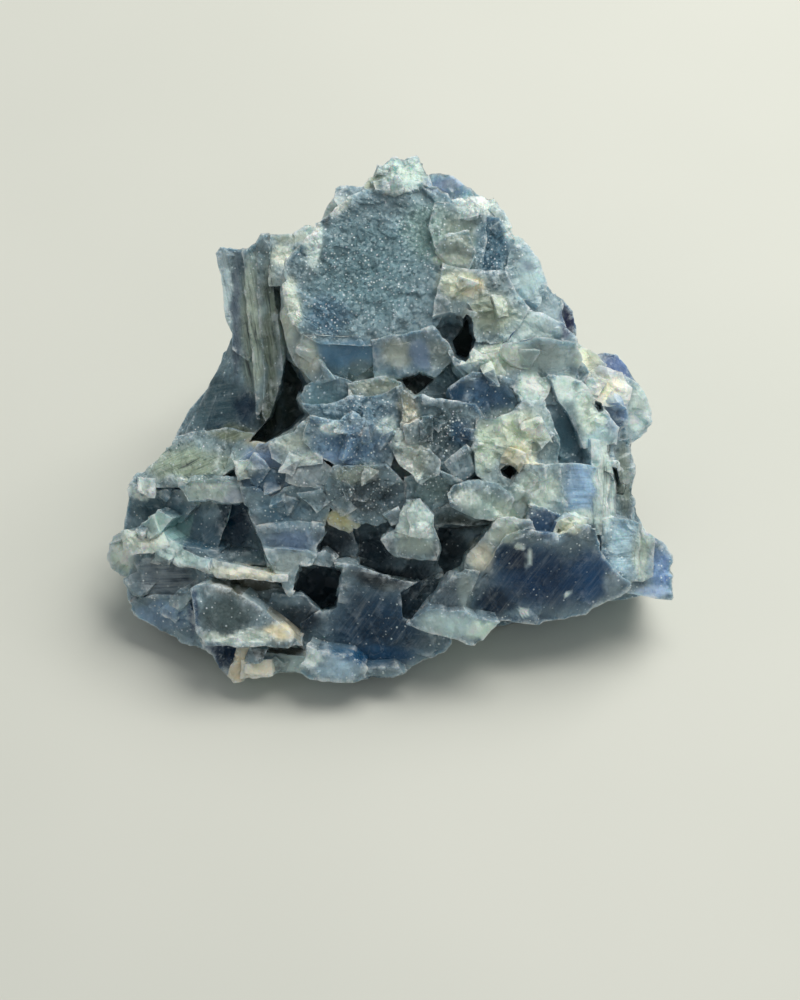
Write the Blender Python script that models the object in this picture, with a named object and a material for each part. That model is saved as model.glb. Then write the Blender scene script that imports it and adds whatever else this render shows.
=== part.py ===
"""Raw blue calcite: one hand-sized lump of intergrown cleavage blocks, resting on its flat underside.

The lump is one closed solid. Its show face looks forward and up, and is laid out the way a carver
reads it: u runs to the right, v up the face and w out of it, in millimetres, with u and v taken where
a sight line from the viewing point crosses the middle plane. Each crystal face is a flat polygon on
that show face, drawn in towards the heart of the lump as a wedge. The hidden sides are rhombohedral
cleavage blocks. Everything is united, hollowed and cut off flat where the lump rests.
"""

import itertools
import math
import random

import bmesh
import bpy
from mathutils import Euler, Matrix, Vector
from mathutils.bvhtree import BVHTree

MM = 0.001

# The show face: how far its middle plane leans back, where the middle sits in the lump's own frame,
# and the viewing point, straight out from (0, EYE_V) at EYE_DISTANCE.
SHOW_ELEVATION_DEG = 50.0
SHOW_MIDDLE = Vector((0.0, -2.0, 22.0))
EYE_V = -10.0
EYE_DISTANCE = 320.0

# A crystal face of the show side is the end of a wedge, drawn in by this much behind the face, and
# this share of the way to the heart of the lump, where its outline has shrunk to that share.
HEART = Vector((0.0, 3.0, 14.0))
WEDGE_DEPTH = 9.0
WEDGE_LEAN = 0.25
WEDGE_TIP = 0.5
SPREAD = 0.35

# Calcite cleaves into rhombohedra whose edges meet at this angle.
CLEAVAGE_DEG = 101.9

SEED = 29
FLANK_BLOCKS = 66
FLANK_CHOICES = 5
SMALL_EDGES = (4.0, 9.0)
LARGE_EDGES = (9.0, 16.0)

BLUE = (0.25, 0.36, 0.44, 1.0)
ROUGHNESS = 0.35

# Crystal faces of the show side: name, height w at the middle of the outline, slope (dw/du, dw/dv),
# and the outline (u, v).
FACES = [
    # crown and sugary slab
    ("sugary slab", 6.5, (0.02, -0.10), [
        (-14.3, 17.5), (-13.9, 20.0), (-10.0, 24.3), (-7.3, 26.6), (-4.2, 28.6), (0.5, 29.6),
        (4.5, 29.0), (7.0, 27.0), (7.5, 22.0), (6.0, 17.0), (5.0, 13.0), (3.5, 11.0), (0.5, 9.8),
        (-5.0, 9.6), (-10.0, 9.8), (-12.5, 11.0), (-13.8, 14.0)]),
    ("slab lip", 6.0, (0.05, 0.55), [
        (-12.0, 10.6), (-5.0, 10.2), (-3.0, 10.0), (-2.8, 8.0), (-6.2, 5.2), (-8.0, 5.6),
        (-10.5, 7.0), (-12.6, 8.6)]),
    ("slab lip right", 6.7, (-0.05, 0.42), [
        (-3.2, 10.0), (0.5, 10.4), (3.8, 11.4), (6.6, 9.0), (6.4, 7.5), (4.2, 5.6), (2.8, 6.3),
        (0.5, 5.5), (-2.8, 5.6)]),
    ("slab rim", 4.4, (0.85, 0.05), [
        (-15.1, 17.0), (-14.2, 20.0), (-12.4, 17.0), (-12.0, 12.0), (-10.4, 8.0), (-8.3, 5.4),
        (-11.0, 4.6), (-13.2, 7.5), (-14.6, 12.0)]),
    ("white shoulder", 4.2, (0.0, -0.4), [
        (-8.0, 27.8), (-7.6, 28.8), (-6.6, 29.1), (-5.2, 28.9), (-4.0, 29.6), (-2.4, 28.8),
        (-5.5, 27.3), (-7.2, 26.3)]),
    ("peak", 4.3, (0.1, -0.30), [
        (-4.2, 29.6), (-2.4, 31.2), (-1.4, 32.3), (-0.5, 32.6), (0.5, 32.3), (1.9, 32.9),
        (2.4, 32.1), (3.4, 30.5), (4.4, 28.8), (0.5, 28.2), (-4.0, 27.9)]),
    ("violet shoulder", 0.5, (-0.1, 0.25), [
        (3.2, 30.5), (4.2, 30.6), (5.2, 30.7), (6.2, 30.4), (7.6, 29.3), (8.6, 29.2), (10.2, 27.9),
        (7.5, 27.2), (4.2, 27.8)]),
    ("crust shoulder", 3.2, (-0.45, -0.55), [
        (6.6, 27.4), (10.3, 27.8), (11.8, 27.2), (12.8, 25.8), (13.6, 24.3), (12.2, 24.2),
        (10.0, 25.6), (7.6, 25.8)]),
    ("starry lens", 4.2, (-0.35, 0.15), [
        (10.0, 26.0), (12.4, 25.0), (13.2, 23.6), (14.0, 22.3), (13.7, 20.0), (12.7, 18.2),
        (10.3, 17.9), (9.6, 19.5), (10.0, 21.0), (10.4, 23.5)]),
    ("grey mound", 6.7, (-0.2, -0.05), [
        (4.5, 27.3), (8.0, 26.8), (10.2, 25.8), (10.6, 23.0), (10.1, 20.5), (9.8, 18.0),
        (8.0, 18.3), (6.0, 19.8), (4.6, 21.8), (4.0, 24.0)]),
    ("grey knuckle", 7.8, (0.15, 0.2), [
        (4.8, 21.4), (6.2, 23.2), (8.4, 23.3), (9.2, 21.0), (8.3, 18.7), (6.5, 19.5)]),
    ("crust rim", 1.8, (-0.3, -0.4), [
        (13.3, 24.3), (14.2, 22.9), (15.0, 22.5), (16.0, 21.7), (14.6, 20.8), (13.2, 22.0)]),
    ("clear tooth", 2.7, (-0.4, -0.05), [
        (14.2, 21.4), (15.9, 21.7), (17.0, 20.0), (17.7, 18.5), (18.2, 17.2), (17.8, 16.0),
        (17.3, 14.4), (15.8, 15.2), (14.2, 15.6), (13.5, 18.0), (13.7, 20.0)]),
    ("shoulder ridge", 0.8, (-0.35, 0.0), [
        (17.6, 17.0), (18.3, 17.0), (19.3, 15.7), (20.3, 14.8), (19.9, 13.3), (20.6, 11.8),
        (21.8, 10.0), (19.5, 9.6), (17.0, 12.0), (15.6, 14.4)]),
    ("navy sliver", -2.0, (-0.5, 0.3), [
        (19.2, 15.6), (20.5, 14.8), (21.4, 13.4), (21.7, 12.0), (21.9, 10.0), (20.0, 10.5)]),
    ("cream slope", 7.0, (-0.30, 0.05), [
        (5.6, 19.3), (9.8, 18.3), (13.2, 18.4), (14.2, 16.0), (16.0, 14.0), (14.5, 11.5),
        (12.8, 9.8), (9.2, 10.2), (8.6, 13.0), (6.6, 13.6), (4.4, 13.0), (5.0, 16.0)]),
    ("grey terrace", 4.6, (-0.28, -0.10), [
        (12.3, 10.6), (13.6, 12.6), (16.5, 13.6), (20.0, 12.0), (22.0, 9.8), (21.4, 8.0),
        (17.0, 9.0), (13.0, 8.8)]),

    # right flank
    ("grey eave", 6.2, (-0.22, 0.45), [
        (13.2, 9.3), (17.0, 10.2), (21.8, 9.6), (22.4, 7.6), (21.8, 5.2), (20.0, 5.0),
        (17.2, 5.1), (16.4, 6.4), (14.0, 7.2), (13.2, 8.0)]),
    ("eave wedge", 4.0, (-0.5, 0.4), [(22.0, 7.8), (23.5, 6.0), (22.8, 5.0), (21.5, 5.0)]),
    ("outer shoulder", 2.2, (-0.45, -0.25), [
        (21.8, 10.0), (23.0, 9.0), (24.5, 8.1), (25.6, 7.0), (24.9, 5.0), (23.3, 5.4),
        (22.2, 7.4)]),
    ("knob, blue flank", -0.6, (-0.55, -0.30), [
        (24.4, 8.0), (25.8, 8.3), (26.8, 8.0), (28.3, 6.3), (29.9, 4.3), (28.8, 4.0),
        (27.3, 5.2), (25.0, 5.8)]),
    ("knob, cream face", 2.4, (-0.28, -0.15), [
        (23.2, 5.6), (25.0, 6.6), (27.6, 5.8), (28.5, 4.0), (28.1, 2.2), (26.0, 2.0),
        (24.6, 2.1), (23.6, 4.0)]),
    ("knob, outer edge", -1.2, (-0.50, 0.15), [
        (28.0, 5.3), (29.9, 4.3), (30.6, 2.3), (30.8, 0.5), (30.7, -1.2), (29.9, -1.8),
        (28.8, -2.6), (26.8, -1.8), (26.3, 0.5), (27.8, 2.5)]),
    ("knob, nook", 1.0, (-0.22, 0.25), [
        (24.9, 2.2), (28.2, 2.6), (28.2, 0.0), (27.2, -2.8), (26.6, -0.6), (25.4, 0.6)]),
    ("leaning plate", 4.7, (-0.27, 0.10), [
        (18.8, 5.4), (21.0, 5.2), (22.9, 4.7), (24.3, 2.5), (26.0, 0.4), (27.1, -0.8),
        (26.8, -2.9), (24.0, -3.1), (23.0, -3.2), (22.3, -1.2), (21.5, 0.6), (20.2, 2.3)]),
    ("teal rhomb", 3.9, (-0.15, 0.25), [
        (17.7, 2.1), (20.4, 2.6), (21.8, 0.6), (22.6, -1.2), (23.2, -3.0), (22.9, -6.1),
        (19.9, -5.6), (19.2, -4.0), (19.2, -2.0), (18.4, -0.3)]),
    ("plate corner", 5.3, (-0.2, 0.0), [(17.3, 2.2), (18.1, 3.6), (18.8, 5.3), (20.3, 2.3)]),
    ("pale saddle", 6.4, (-0.16, -0.18), [
        (9.0, 9.7), (12.5, 10.2), (13.4, 8.4), (14.0, 7.4), (16.3, 6.7), (17.3, 5.4),
        (18.9, 5.3), (18.2, 3.4), (17.4, 2.0), (15.4, 2.2), (14.1, 4.4), (12.2, 5.0),
        (10.0, 5.5), (8.5, 5.4), (7.2, 6.6), (6.2, 8.6)]),
    ("blue lens", 7.1, (-0.30, 0.32), [
        (6.3, 3.9), (8.0, 5.1), (9.2, 5.8), (10.1, 5.7), (12.2, 5.2), (14.2, 4.6), (15.6, 2.2),
        (14.3, 0.8), (12.2, -0.1), (10.8, 0.4), (9.2, 1.9), (7.0, 2.2)]),
    ("beige matrix", 6.9, (-0.25, 0.05), [
        (9.9, 0.4), (12.3, 0.0), (14.5, 1.0), (15.8, 2.3), (17.9, 2.1), (18.9, -0.5),
        (19.6, -2.5), (19.7, -5.6), (17.0, -6.0), (15.0, -7.0), (13.8, -9.1), (11.7, -8.2),
        (9.9, -6.7), (9.4, -3.5)]),
    ("matrix foot", 6.1, (-0.20, 0.20), [
        (14.7, -7.0), (17.0, -5.8), (19.8, -5.5), (20.1, -8.0), (20.7, -11.0), (20.1, -12.6),
        (18.0, -11.5), (16.4, -10.8), (14.8, -12.8), (13.2, -12.8), (13.6, -9.3)]),
    ("ice block", 4.9, (-0.20, 0.10), [
        (19.8, -5.5), (22.8, -5.9), (24.6, -6.2), (24.8, -9.0), (24.6, -13.2), (22.5, -13.1),
        (20.7, -11.4), (19.7, -8.3)]),
    ("upright sheet 1", 4.4, (-0.30, 0.05), [
        (23.9, -2.6), (25.2, -2.8), (25.3, -14.2), (24.3, -14.3)]),
    ("upright sheet 2", 3.4, (-0.30, 0.05), [
        (25.1, -2.8), (26.2, -2.8), (26.2, -12.6), (25.2, -13.2)]),
    ("upright sheet 3", 2.4, (-0.30, 0.05), [
        (26.1, -2.8), (27.1, -2.6), (27.0, -12.4), (26.1, -12.8)]),
    ("right wall", 0.2, (-0.45, 0.10), [
        (26.9, -2.6), (28.8, -2.6), (28.8, -4.5), (29.1, -6.0), (29.2, -11.0), (29.0, -13.0),
        (27.0, -12.8)]),
    ("tail, inner block", 2.6, (-0.25, 0.10), [
        (25.4, -12.7), (27.0, -12.3), (29.2, -12.7), (30.0, -13.2), (29.8, -16.0),
        (29.4, -19.7), (28.0, -20.2), (26.3, -18.8), (25.4, -17.0)]),
    ("tail, bands", 1.3, (-0.22, 0.10), [
        (29.5, -12.9), (30.4, -14.2), (31.6, -15.0), (31.5, -19.2), (30.6, -19.6),
        (29.3, -19.8)]),
    ("tail, end", 0.0, (-0.15, 0.15), [
        (31.1, -14.8), (33.2, -16.0), (34.0, -17.0), (33.9, -19.5), (33.8, -22.3),
        (32.3, -22.2), (30.5, -21.7), (28.2, -21.3), (27.6, -20.0), (29.4, -19.2)]),

    # lower right
    ("navy face", 4.3, (-0.12, 0.50), [
        (12.4, -16.2), (13.6, -14.6), (15.2, -14.0), (17.5, -14.4), (20.0, -14.5), (22.0, -13.2),
        (24.6, -13.7), (24.9, -16.5), (26.2, -18.6), (28.2, -20.2), (28.3, -21.3), (27.2, -22.0),
        (26.0, -22.3), (24.3, -23.0), (23.0, -24.2), (20.0, -24.8), (17.5, -25.0), (13.0, -25.0),
        (9.0, -25.2), (7.4, -23.7), (8.4, -21.3), (9.6, -20.0), (10.6, -18.9)]),
    ("navy chip", 5.6, (-0.20, 0.35), [
        (16.2, -10.6), (18.0, -11.2), (20.2, -12.3), (19.9, -13.5), (19.4, -14.9),
        (16.6, -14.9), (16.0, -13.0)]),
    ("white nub", 6.0, (-0.10, 0.1), [
        (19.0, -14.9), (20.2, -13.6), (23.0, -13.1), (23.6, -12.4), (21.5, -12.0),
        (19.9, -12.8)]),
    ("white thumb", 5.7, (0.0, 0.3), [(21.4, -15.9), (22.0, -14.0), (23.2, -14.2), (22.4, -15.7)]),
    ("tan bar", 6.5, (0.05, 0.28), [
        (10.7, -14.4), (12.3, -12.8), (13.6, -12.4), (16.3, -12.8), (16.6, -14.5),
        (14.5, -14.6), (12.8, -15.6), (11.9, -17.0), (10.9, -19.3), (9.0, -19.5), (8.0, -18.2),
        (8.6, -16.6), (9.6, -15.4)]),
    ("glassy bar", 4.9, (0.0, 0.35), [
        (8.0, -19.0), (10.0, -19.1), (8.9, -21.3), (7.8, -23.6), (6.0, -24.4), (3.6, -24.2),
        (4.4, -22.0), (6.4, -20.3)]),
    ("pale foot plate", 5.3, (0.0, 0.30), [
        (1.1, -25.5), (4.0, -23.8), (5.6, -23.9), (6.2, -24.3), (8.1, -24.2), (9.5, -24.9),
        (12.3, -25.3), (10.8, -26.7), (10.2, -27.5), (9.2, -28.1), (8.2, -27.8), (7.2, -27.3),
        (4.0, -26.6)]),

    # foot
    ("blue foot face", 3.2, (0.02, 0.40), [
        (-8.2, -18.2), (-5.0, -18.5), (-1.0, -19.8), (2.2, -20.0), (3.7, -22.0), (1.2, -25.2),
        (6.3, -27.2), (6.2, -27.9), (5.5, -29.0), (2.0, -30.5), (0.5, -31.6), (-1.0, -32.1),
        (-4.0, -32.2), (-6.0, -31.4), (-9.0, -29.5), (-11.7, -28.5), (-12.2, -25.5),
        (-9.2, -23.5), (-7.7, -21.5)]),
    ("pale toe", 4.3, (0.0, 0.25), [
        (-11.4, -28.5), (-10.2, -29.2), (-6.2, -29.7), (-4.4, -31.2), (-4.8, -32.3),
        (-6.0, -32.6), (-8.0, -32.5), (-11.5, -32.2), (-12.4, -31.5), (-11.6, -30.2)]),
    ("toe strip", 2.9, (0.0, 0.3), [
        (-4.6, -31.2), (-1.0, -31.0), (0.5, -31.6), (-1.0, -32.1), (-4.0, -32.2), (-5.2, -32.4)]),
    ("beige stub", 2.9, (0.1, 0.3), [
        (-20.5, -28.7), (-18.3, -28.7), (-18.2, -30.4), (-19.4, -30.5), (-19.5, -32.2),
        (-20.6, -32.4), (-21.3, -31.8)]),
    ("grey brick", 3.3, (0.05, 0.2), [
        (-19.5, -30.2), (-16.3, -30.1), (-16.3, -31.7), (-19.6, -32.1)]),
    ("grey sill", 2.7, (0.0, 0.3), [
        (-16.5, -29.2), (-12.0, -29.7), (-11.8, -31.5), (-16.5, -31.7)]),
    ("indigo wedge", 0.9, (-0.1, 0.40), [
        (-24.8, -27.8), (-19.8, -28.0), (-20.1, -30.0), (-21.2, -32.0), (-22.5, -30.6),
        (-23.0, -29.4), (-24.3, -28.8)]),
    ("grey plate", 4.6, (0.02, -0.05), [
        (-26.0, -21.3), (-25.3, -20.8), (-24.0, -20.7), (-20.0, -22.2), (-17.0, -24.0),
        (-12.5, -28.1), (-16.0, -28.1), (-24.1, -28.0), (-25.2, -26.2)]),
    ("brown back", 1.4, (0.10, 0.25), [
        (-26.6, -21.0), (-25.7, -20.1), (-22.0, -19.7), (-18.0, -19.8), (-15.5, -20.8),
        (-12.0, -22.3), (-10.2, -24.2), (-11.5, -28.6), (-18.0, -30.0), (-25.0, -28.2)]),
    ("slate step", 2.9, (0.12, 0.30), [
        (-16.9, -23.7), (-15.6, -22.0), (-12.0, -22.2), (-9.8, -24.0), (-10.2, -26.2),
        (-12.2, -28.2), (-14.5, -27.0)]),

    # left cheek
    ("mottled cheek", -0.6, (0.36, 0.30), [
        (-33.2, -22.6), (-30.0, -22.2), (-27.0, -22.2), (-26.0, -24.4), (-25.6, -26.5),
        (-24.6, -28.2), (-27.5, -27.6), (-30.0, -26.2), (-32.5, -25.0), (-33.6, -24.0)]),
    ("striated cheek", 0.5, (0.36, 0.18), [
        (-33.6, -17.2), (-32.4, -16.4), (-30.2, -15.9), (-28.5, -16.8), (-26.0, -18.0),
        (-22.0, -19.2), (-22.5, -20.8), (-26.0, -21.1), (-26.7, -22.8), (-33.2, -22.8),
        (-33.7, -20.5)]),
    ("left nub", -3.0, (0.5, 0.0), [
        (-36.3, -17.0), (-35.9, -15.8), (-35.7, -14.9), (-34.6, -14.0), (-33.0, -15.0),
        (-32.8, -17.5), (-33.4, -19.6), (-35.0, -19.2), (-36.0, -18.2)]),
    ("pale rim, left", 0.9, (0.32, -0.25), [
        (-34.6, -14.0), (-32.0, -13.7), (-30.0, -13.9), (-29.2, -15.6), (-30.5, -16.3),
        (-33.8, -16.5)]),
    ("pale rim, middle", 2.5, (0.32, -0.25), [
        (-30.2, -13.6), (-28.3, -15.4), (-24.0, -17.2), (-24.3, -18.6), (-27.5, -18.0),
        (-30.2, -16.3)]),
    ("pale rim, right", 4.6, (0.18, -0.30), [
        (-24.6, -17.3), (-20.5, -18.0), (-16.3, -18.7), (-14.2, -19.1), (-14.4, -20.1),
        (-18.0, -20.0), (-22.0, -19.6), (-24.8, -18.7)]),
    ("crushed corner", -1.9, (0.42, -0.40), [
        (-33.9, -8.6), (-33.3, -7.5), (-31.0, -7.0), (-28.6, -7.6), (-29.6, -9.6),
        (-33.8, -9.9)]),
    ("teal cheek", -1.2, (0.40, 0.35), [
        (-33.9, -9.5), (-30.0, -9.3), (-27.0, -8.8), (-26.0, -10.8), (-27.6, -12.8),
        (-30.8, -12.2), (-31.2, -14.2), (-34.4, -13.6), (-34.3, -12.3), (-34.0, -11.0)]),
    ("pale tooth", 1.4, (0.3, 0.1), [
        (-31.5, -12.4), (-30.3, -11.6), (-28.7, -12.4), (-29.8, -13.4), (-30.4, -14.3),
        (-31.7, -14.1)]),
    ("pale ledge", 3.5, (0.30, 0.20), [
        (-27.4, -8.4), (-26.2, -7.6), (-23.0, -7.4), (-20.1, -7.8), (-19.6, -10.0),
        (-21.0, -10.7), (-23.0, -10.6), (-24.2, -10.0), (-26.3, -10.3), (-27.0, -9.3)]),
    ("striated ledge", 0.6, (0.28, -0.45), [
        (-28.4, -3.6), (-28.0, -2.2), (-25.0, -1.6), (-22.0, -1.2), (-18.5, -1.6),
        (-16.8, -2.8), (-19.0, -5.2), (-23.0, -7.0), (-26.5, -8.3), (-30.0, -8.2),
        (-33.7, -8.0), (-32.5, -6.5), (-31.0, -5.6), (-29.5, -4.4)]),
    ("dark flank", -3.4, (0.42, -0.12), [
        (-22.4, 7.0), (-22.0, 8.0), (-19.5, 9.6), (-14.5, 8.0), (-13.0, 4.5), (-14.0, 1.0),
        (-17.0, -2.4), (-22.0, -2.8), (-28.0, -2.4), (-27.6, -1.0), (-27.0, 0.0),
        (-26.0, 1.5), (-25.0, 2.5), (-24.0, 3.6), (-22.6, 5.0)]),

    # fin
    ("fin, outer sheet", -1.4, (0.20, -0.04), [
        (-22.6, 20.4), (-22.2, 21.0), (-19.5, 21.2), (-19.0, 17.0), (-18.2, 9.0), (-19.0, 7.6),
        (-20.9, 9.2), (-21.2, 12.0), (-21.7, 14.3), (-22.0, 17.0)]),
    ("fin, middle sheet", 0.2, (0.45, 0.0), [
        (-19.7, 21.2), (-18.9, 21.1), (-18.0, 22.0), (-17.6, 15.0), (-17.0, 8.0), (-17.2, 2.0),
        (-18.0, 0.2), (-18.3, 4.0), (-18.6, 9.0), (-19.4, 16.0)]),
    ("fin, inner sheet", 1.2, (0.50, 0.0), [
        (-18.2, 21.8), (-17.4, 23.1), (-16.3, 23.3), (-16.1, 18.0), (-15.5, 12.0),
        (-14.8, 7.0), (-15.1, 3.0), (-16.2, -0.8), (-17.2, 0.4), (-17.2, 8.0), (-17.8, 15.0)]),
    ("fin, back sheet", 1.1, (0.12, -0.20), [
        (-16.5, 23.4), (-15.0, 23.1), (-13.5, 22.9), (-12.8, 23.4), (-12.0, 24.0),
        (-11.0, 24.0), (-10.0, 24.5), (-12.0, 21.0), (-13.8, 19.6), (-15.0, 17.0),
        (-16.3, 17.0)]),
    ("dark spur", 0.2, (0.1, 0.3), [
        (-10.3, 24.1), (-9.4, 25.5), (-9.0, 26.5), (-8.3, 27.7), (-7.0, 27.0), (-8.0, 25.0)]),

    # middle
    ("teal step", 5.9, (0.10, 0.25), [
        (-12.3, 3.8), (-9.5, 5.5), (-7.0, 5.1), (-5.8, 4.5), (-5.3, 2.3), (-8.0, 0.4),
        (-10.4, 0.8), (-12.9, 2.9)]),
    ("nook", 5.1, (0.0, 0.40), [
        (-6.7, 4.9), (-5.8, 7.0), (-4.8, 8.1), (-2.8, 8.4), (-2.6, 6.0), (-3.4, 4.6)]),
    ("grey tongue", 7.1, (0.0, 0.15), [
        (-6.4, 4.6), (-3.6, 4.9), (-2.0, 5.2), (0.1, 4.7), (-1.4, 3.9), (-3.3, 2.6),
        (-5.5, 2.5)]),
    ("slate plate, upper", 7.6, (0.12, -0.10), [
        (-12.0, 2.0), (-8.0, 1.9), (-5.5, 2.6), (-3.0, 3.0), (-1.2, 4.0), (0.2, 4.5),
        (0.8, 2.0), (0.4, -1.8), (-2.0, -2.0), (-4.5, -0.8), (-8.0, -0.7), (-11.6, 0.3)]),
    ("slate plate, lower", 8.3, (0.08, 0.20), [
        (-12.1, -2.6), (-11.5, 0.6), (-8.0, -0.4), (-4.5, -0.5), (-2.0, -1.7), (0.3, -1.5),
        (-0.8, -3.5), (-1.8, -6.2), (-6.0, -6.2), (-10.0, -4.4)]),
    ("pale arm", 6.9, (0.20, -0.10), [
        (-16.1, -2.5), (-13.5, -0.9), (-11.6, 0.1), (-11.9, -2.2), (-10.1, -3.8),
        (-9.9, -5.3), (-14.0, -5.7), (-15.7, -4.6)]),
    ("violet step", 5.1, (0.25, -0.08), [
        (-20.1, -5.1), (-17.5, -3.0), (-15.6, -2.4), (-15.1, -4.6), (-13.6, -6.4),
        (-18.0, -6.4), (-20.2, -6.8)]),
    ("white corner", 5.5, (0.1, 0.1), [
        (-20.7, -5.2), (-19.2, -5.1), (-17.9, -6.1), (-18.8, -7.1), (-20.4, -7.5)]),
    ("blue step", 5.3, (0.15, 0.20), [
        (-20.2, -7.2), (-18.0, -6.1), (-14.0, -6.2), (-12.3, -7.8), (-13.3, -8.7),
        (-15.8, -10.0), (-17.5, -8.8), (-20.2, -8.6)]),
    ("grey step", 6.8, (0.10, 0.20), [
        (-14.1, -5.8), (-10.0, -5.1), (-7.8, -7.0), (-8.8, -8.4), (-12.0, -8.1), (-13.9, -7.5)]),
    ("pendant, brow", 5.4, (0.15, 0.30), [
        (-19.4, -10.4), (-19.8, -8.4), (-17.8, -8.5), (-15.8, -9.7), (-14.0, -8.8),
        (-12.0, -7.9), (-9.2, -8.2), (-9.0, -10.5), (-9.8, -13.4), (-13.5, -13.4),
        (-17.9, -13.7)]),
    ("pendant, lozenge", 6.4, (0.1, 0.2), [
        (-12.7, -9.2), (-10.0, -8.9), (-9.1, -10.2), (-10.5, -11.2), (-12.2, -10.0)]),
    ("pendant, cheek", 4.9, (0.15, 0.18), [
        (-17.9, -13.4), (-13.0, -13.0), (-9.9, -13.2), (-9.8, -14.5), (-10.8, -15.8),
        (-10.7, -17.1), (-12.0, -16.8), (-14.0, -16.6), (-17.0, -16.4)]),
    ("pendant, tip", 5.1, (0.10, 0.10), [
        (-17.1, -16.1), (-14.0, -16.3), (-12.0, -16.5), (-10.7, -17.1), (-11.5, -18.2),
        (-12.6, -20.0), (-13.8, -21.7), (-14.5, -20.5), (-15.0, -19.0), (-16.1, -18.8)]),
    ("black window", 3.1, (0.20, 0.30), [
        (-10.1, -14.0), (-8.5, -12.7), (-6.0, -13.0), (-5.6, -15.0), (-5.4, -16.8),
        (-8.0, -18.0), (-10.0, -17.4), (-10.9, -16.0)]),
    ("honey patch", 5.3, (0.0, 0.4), [
        (-9.3, -12.0), (-7.5, -11.3), (-5.8, -11.9), (-5.3, -13.2), (-6.5, -13.9),
        (-8.5, -12.9)]),
    ("gritty brow", 6.9, (0.03, 0.42), [
        (-8.2, -6.0), (-2.0, -5.8), (0.2, -8.0), (0.2, -11.5), (-3.0, -12.7), (-5.5, -12.4),
        (-8.7, -10.6), (-9.2, -8.0)]),
    ("crushed ridge", 8.7, (-0.05, -0.05), [
        (0.0, -1.5), (1.5, -1.8), (2.9, -3.7), (4.7, -4.9), (4.6, -6.5), (2.5, -7.6),
        (0.4, -5.6), (-1.1, -3.2)]),
    ("gritty mound", 8.2, (-0.12, 0.15), [
        (0.1, 4.0), (1.8, 3.1), (4.5, 2.2), (7.0, 2.1), (9.3, 1.9), (10.6, 0.1), (10.0, -3.5),
        (10.0, -6.2), (7.5, -8.2), (4.3, -6.6), (2.8, -4.0), (0.8, -1.6)]),
    ("mound foot", 7.0, (-0.10, 0.50), [
        (0.8, -7.3), (4.3, -6.4), (7.5, -7.8), (6.7, -9.2), (6.8, -10.8), (4.4, -12.2),
        (3.0, -10.4), (0.8, -10.2)]),
    ("milky nodule", 7.7, (-0.15, 0.15), [
        (6.3, -9.3), (7.5, -8.3), (10.0, -7.8), (12.0, -8.2), (13.3, -9.0), (13.9, -10.0),
        (13.4, -11.9), (11.5, -12.2), (9.5, -11.9), (6.9, -10.9)]),
    ("nodule shade", 5.6, (0.0, 0.60), [
        (4.4, -11.6), (7.0, -10.5), (9.5, -11.5), (12.2, -11.9), (11.2, -13.2), (8.0, -13.5),
        (4.8, -13.6)]),
    ("pale pyramid", 7.9, (0.25, 0.15), [
        (-0.5, -13.7), (-0.1, -12.4), (0.7, -10.3), (1.6, -10.2), (2.0, -12.0), (1.4, -14.1)]),
    ("pale pyramid right", 7.9, (-0.30, 0.15), [
        (1.5, -10.2), (2.5, -10.3), (3.9, -12.0), (4.0, -13.7), (2.4, -14.4), (1.3, -14.1),
        (1.2, -12.0)]),
    ("small chip", 7.2, (0.2, 0.2), [(-1.7, -12.0), (-0.3, -11.1), (0.3, -12.4), (-1.0, -13.0)]),
    ("grey apron", 6.6, (0.05, 0.28), [
        (-1.9, -15.0), (-0.5, -13.8), (2.4, -14.0), (4.1, -13.5), (5.0, -16.3), (4.7, -17.4),
        (1.0, -17.1), (-0.6, -16.7)]),
    ("slate chip", 4.9, (0.0, 0.2), [(-2.7, -20.3), (-2.0, -19.6), (-0.7, -19.7), (-0.7, -21.1)]),
    ("grey bud", 4.7, (0.1, 0.2), [
        (-7.8, -20.3), (-6.8, -20.1), (-6.3, -21.0), (-7.2, -21.8), (-8.1, -21.0)]),
    ("honey bud", 4.7, (0.0, 0.2), [
        (-10.9, -17.1), (-9.5, -16.7), (-8.5, -17.4), (-9.2, -18.1), (-10.5, -18.1)]),
]

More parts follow.
